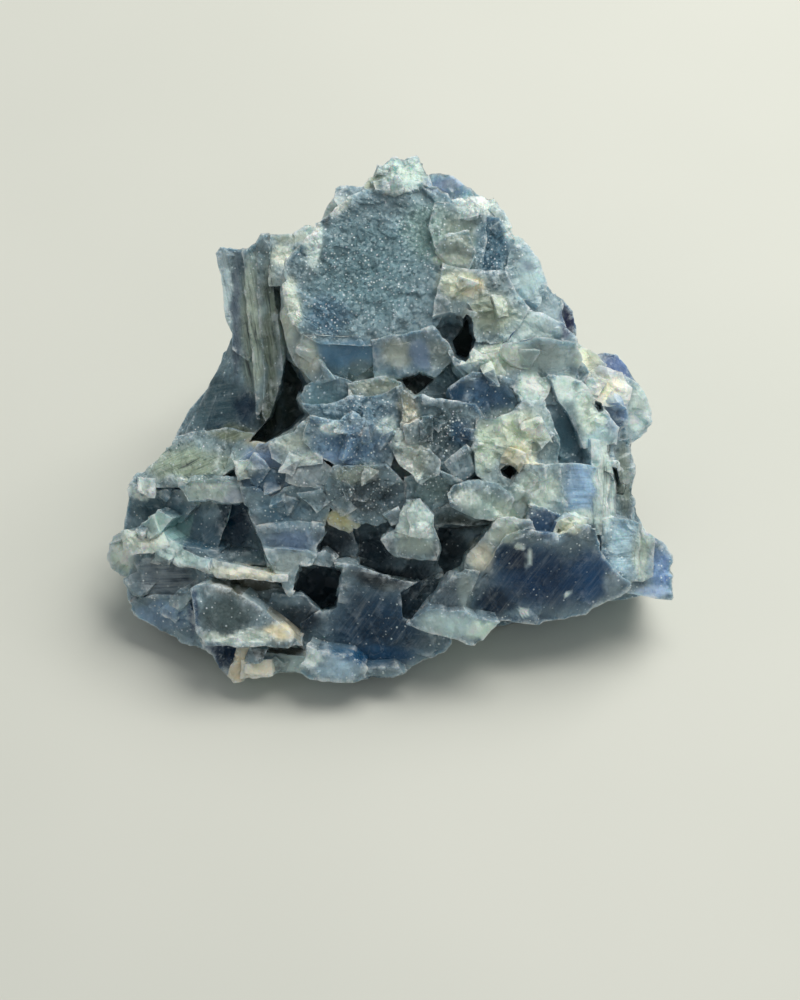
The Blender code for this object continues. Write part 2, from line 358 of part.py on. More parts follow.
# Hollows of the show side: name, height w of the floor, its slope, and the outline of the mouth.
HOLLOWS = [
    ("alcove", 1.0, (-0.28, -0.25), [
        (-29.6, -14.0), (-28.0, -12.4), (-26.8, -11.0), (-24.3, -10.3), (-20.2, -10.6),
        (-19.2, -11.2), (-16.2, -18.7), (-20.5, -18.0), (-24.4, -17.2), (-28.2, -15.6)]),
    ("black pocket", -3.5, (0.0, 0.2), [
        (-12.4, -18.4), (-10.4, -18.2), (-7.4, -18.6), (-7.7, -21.0), (-8.2, -23.2),
        (-9.8, -23.7), (-12.0, -21.4), (-13.2, -21.4)]),
    ("cleft under the slab", -6.5, (0.2, 0.0), [
        (-14.4, 8.0), (-13.4, 7.0), (-12.2, 4.4), (-13.0, 2.6), (-11.8, 0.8), (-13.6, -0.8),
        (-16.6, -2.6), (-18.6, -2.4), (-16.0, 0.5), (-15.0, 3.4)]),
    ("pit above the saddle", -1.0, (0.0, 0.3), [
        (8.3, 12.9), (8.8, 12.4), (8.8, 10.8), (9.2, 10.0), (8.7, 8.0), (8.2, 7.6), (7.0, 8.3),
        (6.6, 9.9), (7.6, 11.1)]),
    ("pit below the slab", 3.0, (0.0, 0.3), [
        (0.3, 5.0), (1.5, 5.3), (2.5, 5.9), (3.3, 5.4), (4.1, 5.1), (3.0, 4.0), (1.8, 3.2),
        (0.7, 4.0)]),
    ("pinhole in the matrix", 3.0, (0.0, 0.0), [
        (12.8, -6.3), (13.7, -5.9), (14.4, -6.4), (13.8, -7.1), (13.2, -6.8)]),
    ("pinhole by the knob", -1.0, (0.0, 0.0), [
        (24.3, 2.2), (25.1, 2.0), (25.3, 1.3), (24.9, 1.2)]),
    ("slit in the right wall", -3.5, (0.0, 0.0), [
        (26.6, -6.1), (27.2, -6.2), (27.4, -7.8), (28.2, -8.0), (27.8, -9.2), (27.1, -9.0)]),
    ("valley, east arm", 1.0, (0.1, 0.25), [
        (4.8, -13.4), (8.0, -13.3), (11.6, -12.8), (10.4, -14.2), (9.4, -15.3), (8.2, -16.6),
        (7.8, -18.4), (5.4, -19.6), (4.8, -17.6), (5.1, -16.2)]),
    ("valley, west arm", 1.6, (0.0, 0.30), [
        (-5.8, -13.6), (-2.2, -13.0), (-1.4, -14.2), (-2.2, -15.2), (-0.8, -16.8), (0.8, -17.4),
        (4.7, -17.6), (5.6, -19.2), (2.6, -20.2), (-1.0, -19.6), (-5.2, -18.2), (-5.2, -16.4)]),
    ("valley, south arm", 0.8, (-0.1, 0.30), [
        (2.4, -20.2), (5.6, -19.6), (4.2, -21.6), (1.4, -25.0), (0.4, -24.6), (0.2, -21.6)]),
]

# The convex bodies under the crystal faces, as points (u, v, w).
BODIES = [
    ("core", [
        (-31, -10, -6), (-31, -18, -4.5), (-30, -23, -4.5), (-20, -28, -2), (-5, -30, -1.5),
        (8, -25, 0), (22, -22, -0.5), (27, -18, -3), (27, -8, -4), (27, 2, -5), (20, 8, 0),
        (18, 14, -3.5), (12, 23, -0.5), (5, 27, -2), (-3, 29, -2), (-8, 25, -2), (-15, 19, -6),
        (-19, 12, -7), (-22, 4, -9), (-27, -3, -7), (0, 0, 5), (-5, 10, 2.5), (5, 12, 3.5),
        (8, -8, 4), (-10, -8, 2), (-5, 18, 2.5)]),
    ("crown", [
        (-12.5, 16, 4.4), (-12, 19, 4.3), (-9.5, 22.5, 4.0), (-6, 26, 3.7), (-1, 28, 3.5),
        (4, 27.5, 3.5), (8, 25, 3.8), (9, 20, 4.8), (8.5, 14, 5.2), (3, 12, 5.1), (-4, 11, 5.0),
        (-10, 11, 5.0), (-12, 20, -4), (-6, 28, -1), (0, 30.5, 1), (4, 29.5, -1), (12, 25, -1),
        (16, 18, -1), (17, 14, -1), (-14, 12, -7), (-10, 19, -14), (-4, 27, -11), (5, 27, -11),
        (13, 20, -11)]),
    ("right shoulder", [
        (8.5, 8.5, 4.8), (12, 13, 4.2), (17, 12, 2.6), (20.5, 9, 1.6), (16, 5, 4.0),
        (17.5, 0, 3.8), (12, -4, 4.8), (11, 2, 4.5), (20, 3, 1.8), (25, 3, 0.3), (26.5, -1, -1.2),
        (25, -6, 1.4), (24.5, -12, 2.2), (18, -11, 3.8), (14, -9, 4.5), (27, 6, -4), (29, 1, -6),
        (28, -12, -4), (22, 9, -4), (27, -2, -16), (20, 8, -16)]),
    ("lower right", [
        (12, -16, 4.3), (20, -15, 3.6), (25, -14.5, 2.6), (28, -20, -0.8), (20, -24, -0.8),
        (10, -24.5, 0.1), (31, -16, -2), (33, -18, -3), (32.5, -21.5, -3), (29, -21, -2),
        (30, -16, -10), (31, -20, -9), (14, -20, -12)]),
    ("foot", [
        (-10, -25, 1.3), (-6, -19.5, 3.0), (2, -21, 2.3), (0, -30, -1.0), (-10, -30.5, 0.6),
        (5, -27.5, -0.2), (-24.5, -22.5, 2.2), (-24, -27, 2.0), (-15, -26.8, 2.2),
        (-18, -24, 2.4), (-20, -28, -10), (0, -28, -12)]),
    ("left cheek", [
        (-32.5, -17.5, -2.4), (-27, -18, -0.4), (-24, -19.5, 0.5), (-27, -22, -1.0),
        (-32.5, -22, -3.2), (-32, -24.5, -4.4), (-27, -27, -2.6), (-31, -7, -2.6),
        (-22, -2.5, -1.6), (-19, -4.5, 0.0), (-25, -8, -0.6), (-31, -13, -11), (-31, -22, -10),
        (-24, 0, -13)]),
    ("middle", [
        (-11, 0.5, 5.0), (-5, 3.5, 5.6), (0.5, 3, 5.8), (8, 1, 5.4), (9.5, -5, 5.4),
        (12, -9, 5.0), (5, -7, 5.6), (0, -8, 5.4), (-8, -7, 4.9), (-12, -4, 4.5),
        (-8, -10.5, 3.2), (-1, -11.5, 3.8), (-17, -8, 2.7), (-16, -13, 2.3), (-12, -15, 2.5),
        (-15, -8, -8), (10, -8, -8), (0, 5, -8)]),
]

# The hidden sides of the core, as points (x, y, z).
CORE_BACK = [
    (-3, 21, 40), (5, 21, 39), (12, 16, 34), (-9, 17, 35), (-17, 13, 33),
    (18, 12, 28), (26, 4, 18), (25, 9, 9), (19, 17, 11), (10, 24, 20), (0, 27, 21),
    (-9, 24, 17), (-17, 17, 13), (5, 27, 7), (-10, 23, 5), (-24, 8, 9), (-28, 0, 6),
    (-19, -14, -1), (-8, -18, -1), (8, -16, -1), (20, -8, -1), (22, 5, -1), (14, 18, -1),
    (-3, 22, -1), (-17, 14, -1), (-24, 1, -1),
]

# Where small crystals crowd the show side: name, middle (u, v), reach in u and v, how many of them,
# and the shortest and longest edge.
CLUSTERS = [
    ("crown crust", (0.5, 29.8), (6.0, 2.0), 4, (1.6, 3.2)),
    ("right crown crust", (11.0, 25.0), (3.0, 2.2), 3, (1.6, 3.2)),
    ("cream slope", (9.5, 15.0), (3.5, 3.0), 4, (1.8, 4.0)),
    ("saddle", (13.0, 6.5), (4.5, 2.5), 4, (1.8, 4.0)),
    ("matrix", (15.0, -3.5), (4.0, 4.0), 5, (2.0, 4.4)),
    ("slate plates", (-5.0, -1.0), (6.0, 3.5), 6, (2.0, 4.4)),
    ("mound", (5.0, -2.5), (4.0, 5.0), 5, (1.8, 4.2)),
    ("brow", (-4.0, -8.5), (4.5, 2.5), 4, (1.8, 3.6)),
    ("left steps", (-15.5, -7.5), (4.0, 3.5), 5, (2.0, 4.0)),
    ("left ledge", (-28.0, -8.5), (5.0, 1.2), 3, (1.6, 3.4)),
    ("left rim", (-31.0, -15.5), (4.0, 2.2), 4, (1.6, 3.6)),
    ("left cheek", (-30.0, -22.5), (3.5, 3.0), 3, (2.0, 4.4)),
    ("foot plates", (-16.0, -29.5), (6.0, 1.8), 3, (1.6, 3.2)),
    ("right shoulder", (26.0, 4.0), (2.5, 3.0), 3, (1.6, 3.4)),
    ("right wall", (27.0, -9.0), (1.5, 5.0), 3, (1.8, 3.6)),
]

# The outline of the whole lump as seen from the viewing point, as (u, v).
SILHOUETTE = [
    (-22.5, 20.3), (-22.0, 21.1), (-19.2, 21.0), (-17.5, 23.1), (-16.2, 23.5), (-13.3, 22.9),
    (-12.0, 24.0), (-10.0, 24.5), (-8.3, 27.7), (-6.8, 29.2), (-4.0, 29.8), (-1.2, 32.7),
    (2.0, 32.7), (3.5, 30.5), (6.0, 30.5), (8.5, 29.3), (11.5, 27.3), (13.3, 25.4), (14.5, 22.8),
    (16.0, 22.0), (18.0, 18.0), (20.5, 14.8), (21.6, 13.0), (22.2, 9.3), (26.0, 8.3), (28.0, 6.7),
    (30.4, 3.0), (30.9, 0.6), (30.8, -1.2), (29.0, -2.5), (29.2, -10.0), (29.8, -13.0),
    (32.0, -15.5), (34.0, -17.0), (33.8, -22.3), (28.3, -21.3), (25.0, -22.8), (18.5, -25.0),
    (12.3, -25.4), (9.2, -28.0), (4.0, -29.5), (1.0, -31.7), (-6.0, -32.5), (-12.0, -31.6),
    (-20.0, -32.3), (-22.5, -31.0), (-24.8, -28.4), (-30.0, -26.2), (-33.6, -23.9), (-33.6, -20.5),
    (-36.3, -17.0), (-35.6, -14.8), (-34.6, -13.8), (-33.8, -8.2), (-28.5, -3.5), (-26.0, 1.5),
    (-22.6, 5.0), (-20.8, 10.0), (-22.2, 18.0),
]


def show_axes():
    """The directions u, v and w of the show face, as unit vectors in the lump's frame."""
    lean = math.radians(SHOW_ELEVATION_DEG)
    up_the_face = Vector((0.0, math.sin(lean), math.cos(lean)))
    out_of_the_face = Vector((0.0, -math.cos(lean), math.sin(lean)))
    return Vector((1.0, 0.0, 0.0)), up_the_face, out_of_the_face


def seen(u, v, w):
    """The point on the sight line through (u, v) at height w, in mm in the lump's frame."""
    along, up, out = show_axes()
    narrowing = 1.0 - w / EYE_DISTANCE
    return SHOW_MIDDLE + along * (u * narrowing) + up * (EYE_V + (v - EYE_V) * narrowing) + out * w


def sighted(point):
    """The (u, v, w) of a point given in mm in the lump's frame."""
    along, up, out = show_axes()
    offset = point - SHOW_MIDDLE
    w = offset.dot(out)
    narrowing = 1.0 - w / EYE_DISTANCE
    return offset.dot(along) / narrowing, EYE_V + (offset.dot(up) - EYE_V) / narrowing, w


def is_inside(outline, u, v):
    """Whether (u, v) lies inside the outline, by the crossings of a line to its right."""
    inside = False
    for (u0, v0), (u1, v1) in zip(outline, outline[1:] + outline[:1]):
        if (v0 > v) != (v1 > v) and u < u0 + (v - v0) / (v1 - v0) * (u1 - u0):
            inside = not inside
    return inside


def middle_of(outline):
    """The mean (u, v) of an outline's points."""
    return [sum(values) / len(outline) for values in zip(*outline)]


def spread(outline, by):
    """The outline with each point moved out from its middle by that many mm."""
    middle = Vector(middle_of(outline))
    return [tuple(Vector(p) + (Vector(p) - middle).normalized() * by) for p in outline]


def face_points(outline, height, slope, middle):
    """Where the sight lines of an outline meet the plane of that height and slope at its middle."""
    narrowing = 1.0 - height / EYE_DISTANCE
    centre_x = middle[0] * narrowing
    centre_y = (middle[1] - EYE_V) * narrowing
    points = []
    for u, v in outline:
        rise = slope[0] * (u - centre_x) + slope[1] * (v - EYE_V - centre_y)
        share = (height + rise) / (EYE_DISTANCE + slope[0] * u + slope[1] * (v - EYE_V))
        points.append(seen(u, v, share * EYE_DISTANCE))
    return points


def prism(name, near, far):
    """A closed solid between two outlines of as many points, as an object of its own."""
    bm = bmesh.new()
    face = bm.faces.new([bm.verts.new(p * MM) for p in near])
    near_verts = list(face.verts)
    made = bmesh.ops.extrude_face_region(bm, geom=[face])
    far_verts = [g for g in made["geom"] if isinstance(g, bmesh.types.BMVert)]
    for vert in far_verts:
        nearest = min(range(len(near)), key=lambda i: (near[i] * MM - vert.co).length)
        vert.co = far[nearest] * MM
    assert len(near_verts) == len(far_verts)
    bmesh.ops.recalc_face_normals(bm, faces=bm.faces)
    return finished(name, bm)


def finished(name, bm):
    """The bmesh as a new object in the scene."""
    mesh = bpy.data.meshes.new(name)
    bm.to_mesh(mesh)
    bm.free()
    made = bpy.data.objects.new(name, mesh)
    bpy.context.scene.collection.objects.link(made)
    return made


def crystal_wedge(name, height, slope, outline):
    """A crystal face of the show side, with the wedge behind it."""
    near = face_points(spread(outline, SPREAD), height, slope, middle_of(outline))
    middle = sum(near, Vector()) / len(near)
    tip = middle.lerp(HEART, WEDGE_LEAN) - show_axes()[2] * WEDGE_DEPTH
    far = [tip + (p - middle) * WEDGE_TIP for p in near]
    return prism(name, near, far)


def hollow_cutter(name, height, slope, outline, reach=22.0, flare=0.12):
    """What is taken out for a hollow: from its floor out past the show face, widening a little."""
    middle = middle_of(outline)
    floor = face_points(outline, height, slope, middle)
    wide = spread(outline, reach * flare * 0.35)
    mouth = face_points(wide, height + reach, slope, middle)
    return prism(name, floor, mouth)


def convex_body(name, points):
    """The convex solid around points given in mm in the lump's frame."""
    bm = bmesh.new()
    for p in points:
        bm.verts.new(p * MM)
    bmesh.ops.convex_hull(bm, input=bm.verts)
    loose = [v for v in bm.verts if not v.link_faces]
    bmesh.ops.delete(bm, geom=loose, context="VERTS")
    bmesh.ops.recalc_face_normals(bm, faces=bm.faces)
    return finished(name, bm)


def cleavage_frame(turn):
    """A rhombohedron's three edge directions, turned by that rotation, as a matrix's columns."""
    edge_cos = math.cos(math.radians(CLEAVAGE_DEG))
    height = math.sqrt((1.0 + 2.0 * edge_cos) / 3.0)
    radius = math.sqrt(1.0 - height * height)
    edges = []
    for third in range(3):
        angle = math.radians(120.0 * third)
        edges.append(Vector((radius * math.cos(angle), radius * math.sin(angle), height)))
    return turn @ Matrix(edges).transposed()


def cleavage_block(name, centre, sizes, frame):
    """A rhombohedral block of those edge lengths in mm about its centre."""
    bm = bmesh.new()
    bmesh.ops.create_cube(bm, size=1.0)
    shape = frame @ Matrix.Diagonal(Vector(sizes) * MM)
    bmesh.ops.transform(bm, matrix=Matrix.Translation(centre * MM) @ shape.to_4x4(), verts=bm.verts)
    bmesh.ops.recalc_face_normals(bm, faces=bm.faces)
    return finished(name, bm)


def slight_turn(chooser):
    """A turn of a few degrees about each axis, as neighbouring crystals are never quite in line."""
    return Euler([math.radians(chooser.gauss(0.0, 3.0)) for _ in range(3)]).to_matrix()


def broken_block(name, centre, sizes, frame, chooser):
    """A block whose corners are broken off by differing amounts."""
    corners = []
    for step in itertools.product((-0.5, 0.5), repeat=3):
        kept = [size * share * chooser.uniform(0.45, 1.0) for size, share in zip(sizes, step)]
        corners.append(centre + frame @ Vector(kept))
    return convex_body(name, corners)


def frame_on(normal, turn):
    """A rhombohedron's edge directions with two of them along a surface, at that turn about it."""
    edge_angle = math.radians(CLEAVAGE_DEG)
    first = normal.orthogonal().normalized()
    first = Matrix.Rotation(turn, 3, normal) @ first
    second = Matrix.Rotation(edge_angle, 3, normal) @ first
    third = (normal - 0.22 * (first + second)).normalized()
    return Matrix((first, second, third)).transposed()


def combine(target, others, operation):
    """The target united with, or cut by, all the others, which are used up."""
    tools = bpy.data.collections.new("tools")
    for other in others:
        tools.objects.link(other)
    modifier = target.modifiers.new("combine", "BOOLEAN")
    modifier.operation = operation
    modifier.solver = "EXACT"
    modifier.operand_type = "COLLECTION"
    modifier.collection = tools
    depsgraph = bpy.context.evaluated_depsgraph_get()
    mesh = bpy.data.meshes.new_from_object(target.evaluated_get(depsgraph))
    target.modifiers.clear()
    target.data = mesh
    for other in others:
        bpy.data.objects.remove(other)
    bpy.data.collections.remove(tools)


def islands(bm):
    """The connected groups of faces."""
    bm.faces.ensure_lookup_table()
    reached = [False] * len(bm.faces)
    groups = []
    for start in bm.faces:
        if reached[start.index]:
            continue
        reached[start.index] = True
        group = [start]
        for face in group:
            for edge in face.edges:
                for other in edge.link_faces:
                    if not reached[other.index]:
                        reached[other.index] = True
                        group.append(other)
        groups.append(group)
    return groups


def keep_outer_shell(target):
    """Drops what is sealed inside the lump or loose from it."""
    bm = bmesh.new()
    bm.from_mesh(target.data)
    groups = sorted(islands(bm), key=len)
    for group in groups[:-1]:
        bmesh.ops.delete(bm, geom=group, context="FACES")
    loose = [v for v in bm.verts if not v.link_faces]
    bmesh.ops.delete(bm, geom=loose, context="VERTS")
    bmesh.ops.triangulate(bm, faces=bm.faces)
    bm.to_mesh(target.data)
    bm.free()


def surface_tree(pieces):
    """A tree of all the pieces' faces for casting rays at from outside."""
    bm = bmesh.new()
    for piece in pieces:
        bm.from_mesh(piece.data)
    tree = BVHTree.FromBMesh(bm)
    bm.free()
    return tree


def hidden_side_point(tree, chooser):
    """A seeded point of the surface away from the show side and the normal there, or None."""
    _, _, out = show_axes()
    z = chooser.uniform(-0.75, 1.0)
    angle = chooser.uniform(0.0, 2.0 * math.pi)
    ring = math.sqrt(1.0 - z * z)
    direction = Vector((ring * math.cos(angle), ring * math.sin(angle), z))
    hit, normal, _, _ = tree.ray_cast((HEART + direction * 90.0) * MM, -direction)
    if hit is None or hit.z < 1.5 * MM:
        return None
    if normal.dot(out) < -0.05 or (hit / MM - SHOW_MIDDLE).dot(out) < -10.0:
        return hit / MM, normal
    return None


def show_side_point(tree, u, v):
    """Where the sight line through (u, v) meets the surface, in mm, and the normal there."""
    start = seen(u, v, 60.0)
    hit, normal, _, _ = tree.ray_cast(start * MM, (seen(u, v, 0.0) - start).normalized())
    return (None, None) if hit is None else (hit / MM, normal)


def is_behind_show_side(tree, centre, sizes, frame):
    """Whether a block neither covers the show side nor shows beyond its outline."""
    for step in itertools.product((-0.5, 0.0, 0.5), repeat=3):
        corner = centre + frame @ Vector([s * share for s, share in zip(sizes, step)])
        u, v, w = sighted(corner)
        if corner.z > 0.0 and not is_inside(SILHOUETTE, u, v):
            return False
        front, _ = show_side_point(tree, u, v)
        if w > (-4.0 if front is None else sighted(front)[2] - 0.4):
            return False
    return True


def flank_blocks(tree, chooser):
    """Cleavage blocks spread over the hidden sides, in three crystal orientations."""
    turns = ((0.35, 0.2), (1.3, 0.9), (-0.7, 1.6))
    frames = [cleavage_frame(Matrix.Rotation(a, 3, "X") @ Matrix.Rotation(b, 3, "Z"))
              for a, b in turns]
    blocks = []
    centres = []
    while len(blocks) < FLANK_BLOCKS:
        edges = LARGE_EDGES if len(blocks) < FLANK_BLOCKS // 3 else SMALL_EDGES
        choices = []
        while len(choices) < FLANK_CHOICES:
            found = hidden_side_point(tree, chooser)
            sizes = [chooser.uniform(*edges) for _ in range(3)]
            if found is None:
                continue
            point, normal = found
            frame = frames[int(point.x > 6) + int(point.z > 20)] @ slight_turn(chooser)
            centre = point - normal * (0.33 * sum(sizes) / 3)
            if is_behind_show_side(tree, centre, sizes, frame):
                gap = min([(centre - c).length for c in centres], default=0.0)
                choices.append((gap, centre, sizes, frame))
        _, centre, sizes, frame = max(choices, key=lambda choice: choice[0])
        centres.append(centre)
        blocks.append(cleavage_block("flank block", centre, sizes, frame))
    return blocks


def small_crystals(tree, chooser):
    """Small broken crystals crowding parts of the show side, half sunk in it."""
    crystals = []
    for name, middle, reach, count, edges in CLUSTERS:
        for _ in range(count):
            angle = chooser.uniform(0.0, 2.0 * math.pi)
            away = math.sqrt(chooser.random())
            u = middle[0] + reach[0] * away * math.cos(angle)
            v = middle[1] + reach[1] * away * math.sin(angle)
            point, normal = show_side_point(tree, u, v)
            sizes = [chooser.uniform(*edges) for _ in range(3)]
            tilt = Vector([chooser.gauss(0.0, 0.22) for _ in range(3)])
            turn = chooser.uniform(0.0, math.pi)
            if point is None or point.z < 4.0 or not is_inside(SILHOUETTE, u, v):
                continue
            frame = frame_on((normal + tilt).normalized(), turn)
            centre = point - normal * (0.22 * sizes[2])
            crystals.append(broken_block(name, centre, sizes, frame, chooser))
    return crystals


def ground():
    """The slab of space under the ground, whose top cuts the lump off flat."""
    bm = bmesh.new()
    bmesh.ops.create_cube(bm, size=1.0)
    bmesh.ops.transform(bm, matrix=Matrix.Diagonal((150 * MM, 150 * MM, 40 * MM, 1.0)), verts=bm.verts)
    bmesh.ops.translate(bm, vec=(0.0, 0.0, -20 * MM), verts=bm.verts)
    return finished("ground", bm)


def centre_on_base(target):
    """Moves the mesh so that the middle of its bounds, taken at the ground, is at the origin."""
    points = [v.co for v in target.data.vertices]
    middle = [(min(p[i] for p in points) + max(p[i] for p in points)) / 2 for i in range(2)]
    target.data.transform(Matrix.Translation((-middle[0], -middle[1], 0.0)))


def calcite_material():
    material = bpy.data.materials.new("blue calcite")
    material.use_nodes = True
    shader = material.node_tree.nodes["Principled BSDF"]
    shader.inputs["Base Color"].default_value = BLUE
    shader.inputs["Roughness"].default_value = ROUGHNESS
    shader.inputs["Metallic"].default_value = 0.0
    return material


def build():
    chooser = random.Random(SEED)
    bodies = []
    for name, points in BODIES:
        points = [seen(*p) for p in points]
        if name == "core":
            points += [Vector(p) for p in CORE_BACK]
        bodies.append(convex_body(name, points))
    pieces = bodies + [crystal_wedge(*face) for face in FACES]
    tree = surface_tree(pieces)
    pieces += flank_blocks(tree, chooser) + small_crystals(tree, chooser)

    lump, *others = pieces
    combine(lump, others, "UNION")
    keep_outer_shell(lump)
    combine(lump, [hollow_cutter(*hollow) for hollow in HOLLOWS] + [ground()], "DIFFERENCE")
    keep_outer_shell(lump)
    centre_on_base(lump)

    lump.name = "calcite"
    lump.data.name = "calcite"
    lump.data.materials.clear()
    lump.data.materials.append(calcite_material())


for leftover in list(bpy.data.objects):
    bpy.data.objects.remove(leftover)
build()
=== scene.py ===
import itertools
import math

import bmesh
import bpy
import numpy as np
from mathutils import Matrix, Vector


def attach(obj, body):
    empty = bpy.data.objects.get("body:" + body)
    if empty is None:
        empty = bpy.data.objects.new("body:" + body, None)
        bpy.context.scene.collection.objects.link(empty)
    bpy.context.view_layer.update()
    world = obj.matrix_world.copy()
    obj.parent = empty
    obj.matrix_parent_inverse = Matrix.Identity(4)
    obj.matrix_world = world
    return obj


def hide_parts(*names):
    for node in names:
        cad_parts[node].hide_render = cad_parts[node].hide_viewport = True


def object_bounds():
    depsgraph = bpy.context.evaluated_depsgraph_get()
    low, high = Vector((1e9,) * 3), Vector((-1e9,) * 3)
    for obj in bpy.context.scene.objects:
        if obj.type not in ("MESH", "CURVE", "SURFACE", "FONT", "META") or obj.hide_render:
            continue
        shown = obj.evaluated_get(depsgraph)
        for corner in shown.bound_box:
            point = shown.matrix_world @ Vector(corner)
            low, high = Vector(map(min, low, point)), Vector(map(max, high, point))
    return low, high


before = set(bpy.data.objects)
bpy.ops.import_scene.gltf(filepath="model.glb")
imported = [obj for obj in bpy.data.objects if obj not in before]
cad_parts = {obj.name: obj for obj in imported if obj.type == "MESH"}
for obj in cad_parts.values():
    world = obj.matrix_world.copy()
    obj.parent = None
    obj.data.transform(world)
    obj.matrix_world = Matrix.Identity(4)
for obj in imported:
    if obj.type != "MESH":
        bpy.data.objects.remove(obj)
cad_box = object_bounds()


# --------------------------------------------------------------------------------------------------
# The lump. One natural piece of calcite: glassy cleavage faces, sugary crystal masses, thin plates
# and pale crumbly matrix that have grown into each other. It was broken from a vein, is rough all
# round and lies on a flat break.

# Places on its show face are given in mm: u to the right, v up the face, and w out of it. The face
# leans back, and u and v are read where the line from a point to the eye crosses w = 0.
MM = 0.001
LEAN = math.radians(50.0)
ALONG = np.array([1.0, 0.0, 0.0])
UP = np.array([0.0, math.sin(LEAN), math.cos(LEAN)])
OUT = np.array([0.0, -math.cos(LEAN), math.sin(LEAN)])
MIDDLE = np.array([1.4045, -3.2786, 22.0])
EYE_V = -10.0
EYE_DISTANCE = 320.0

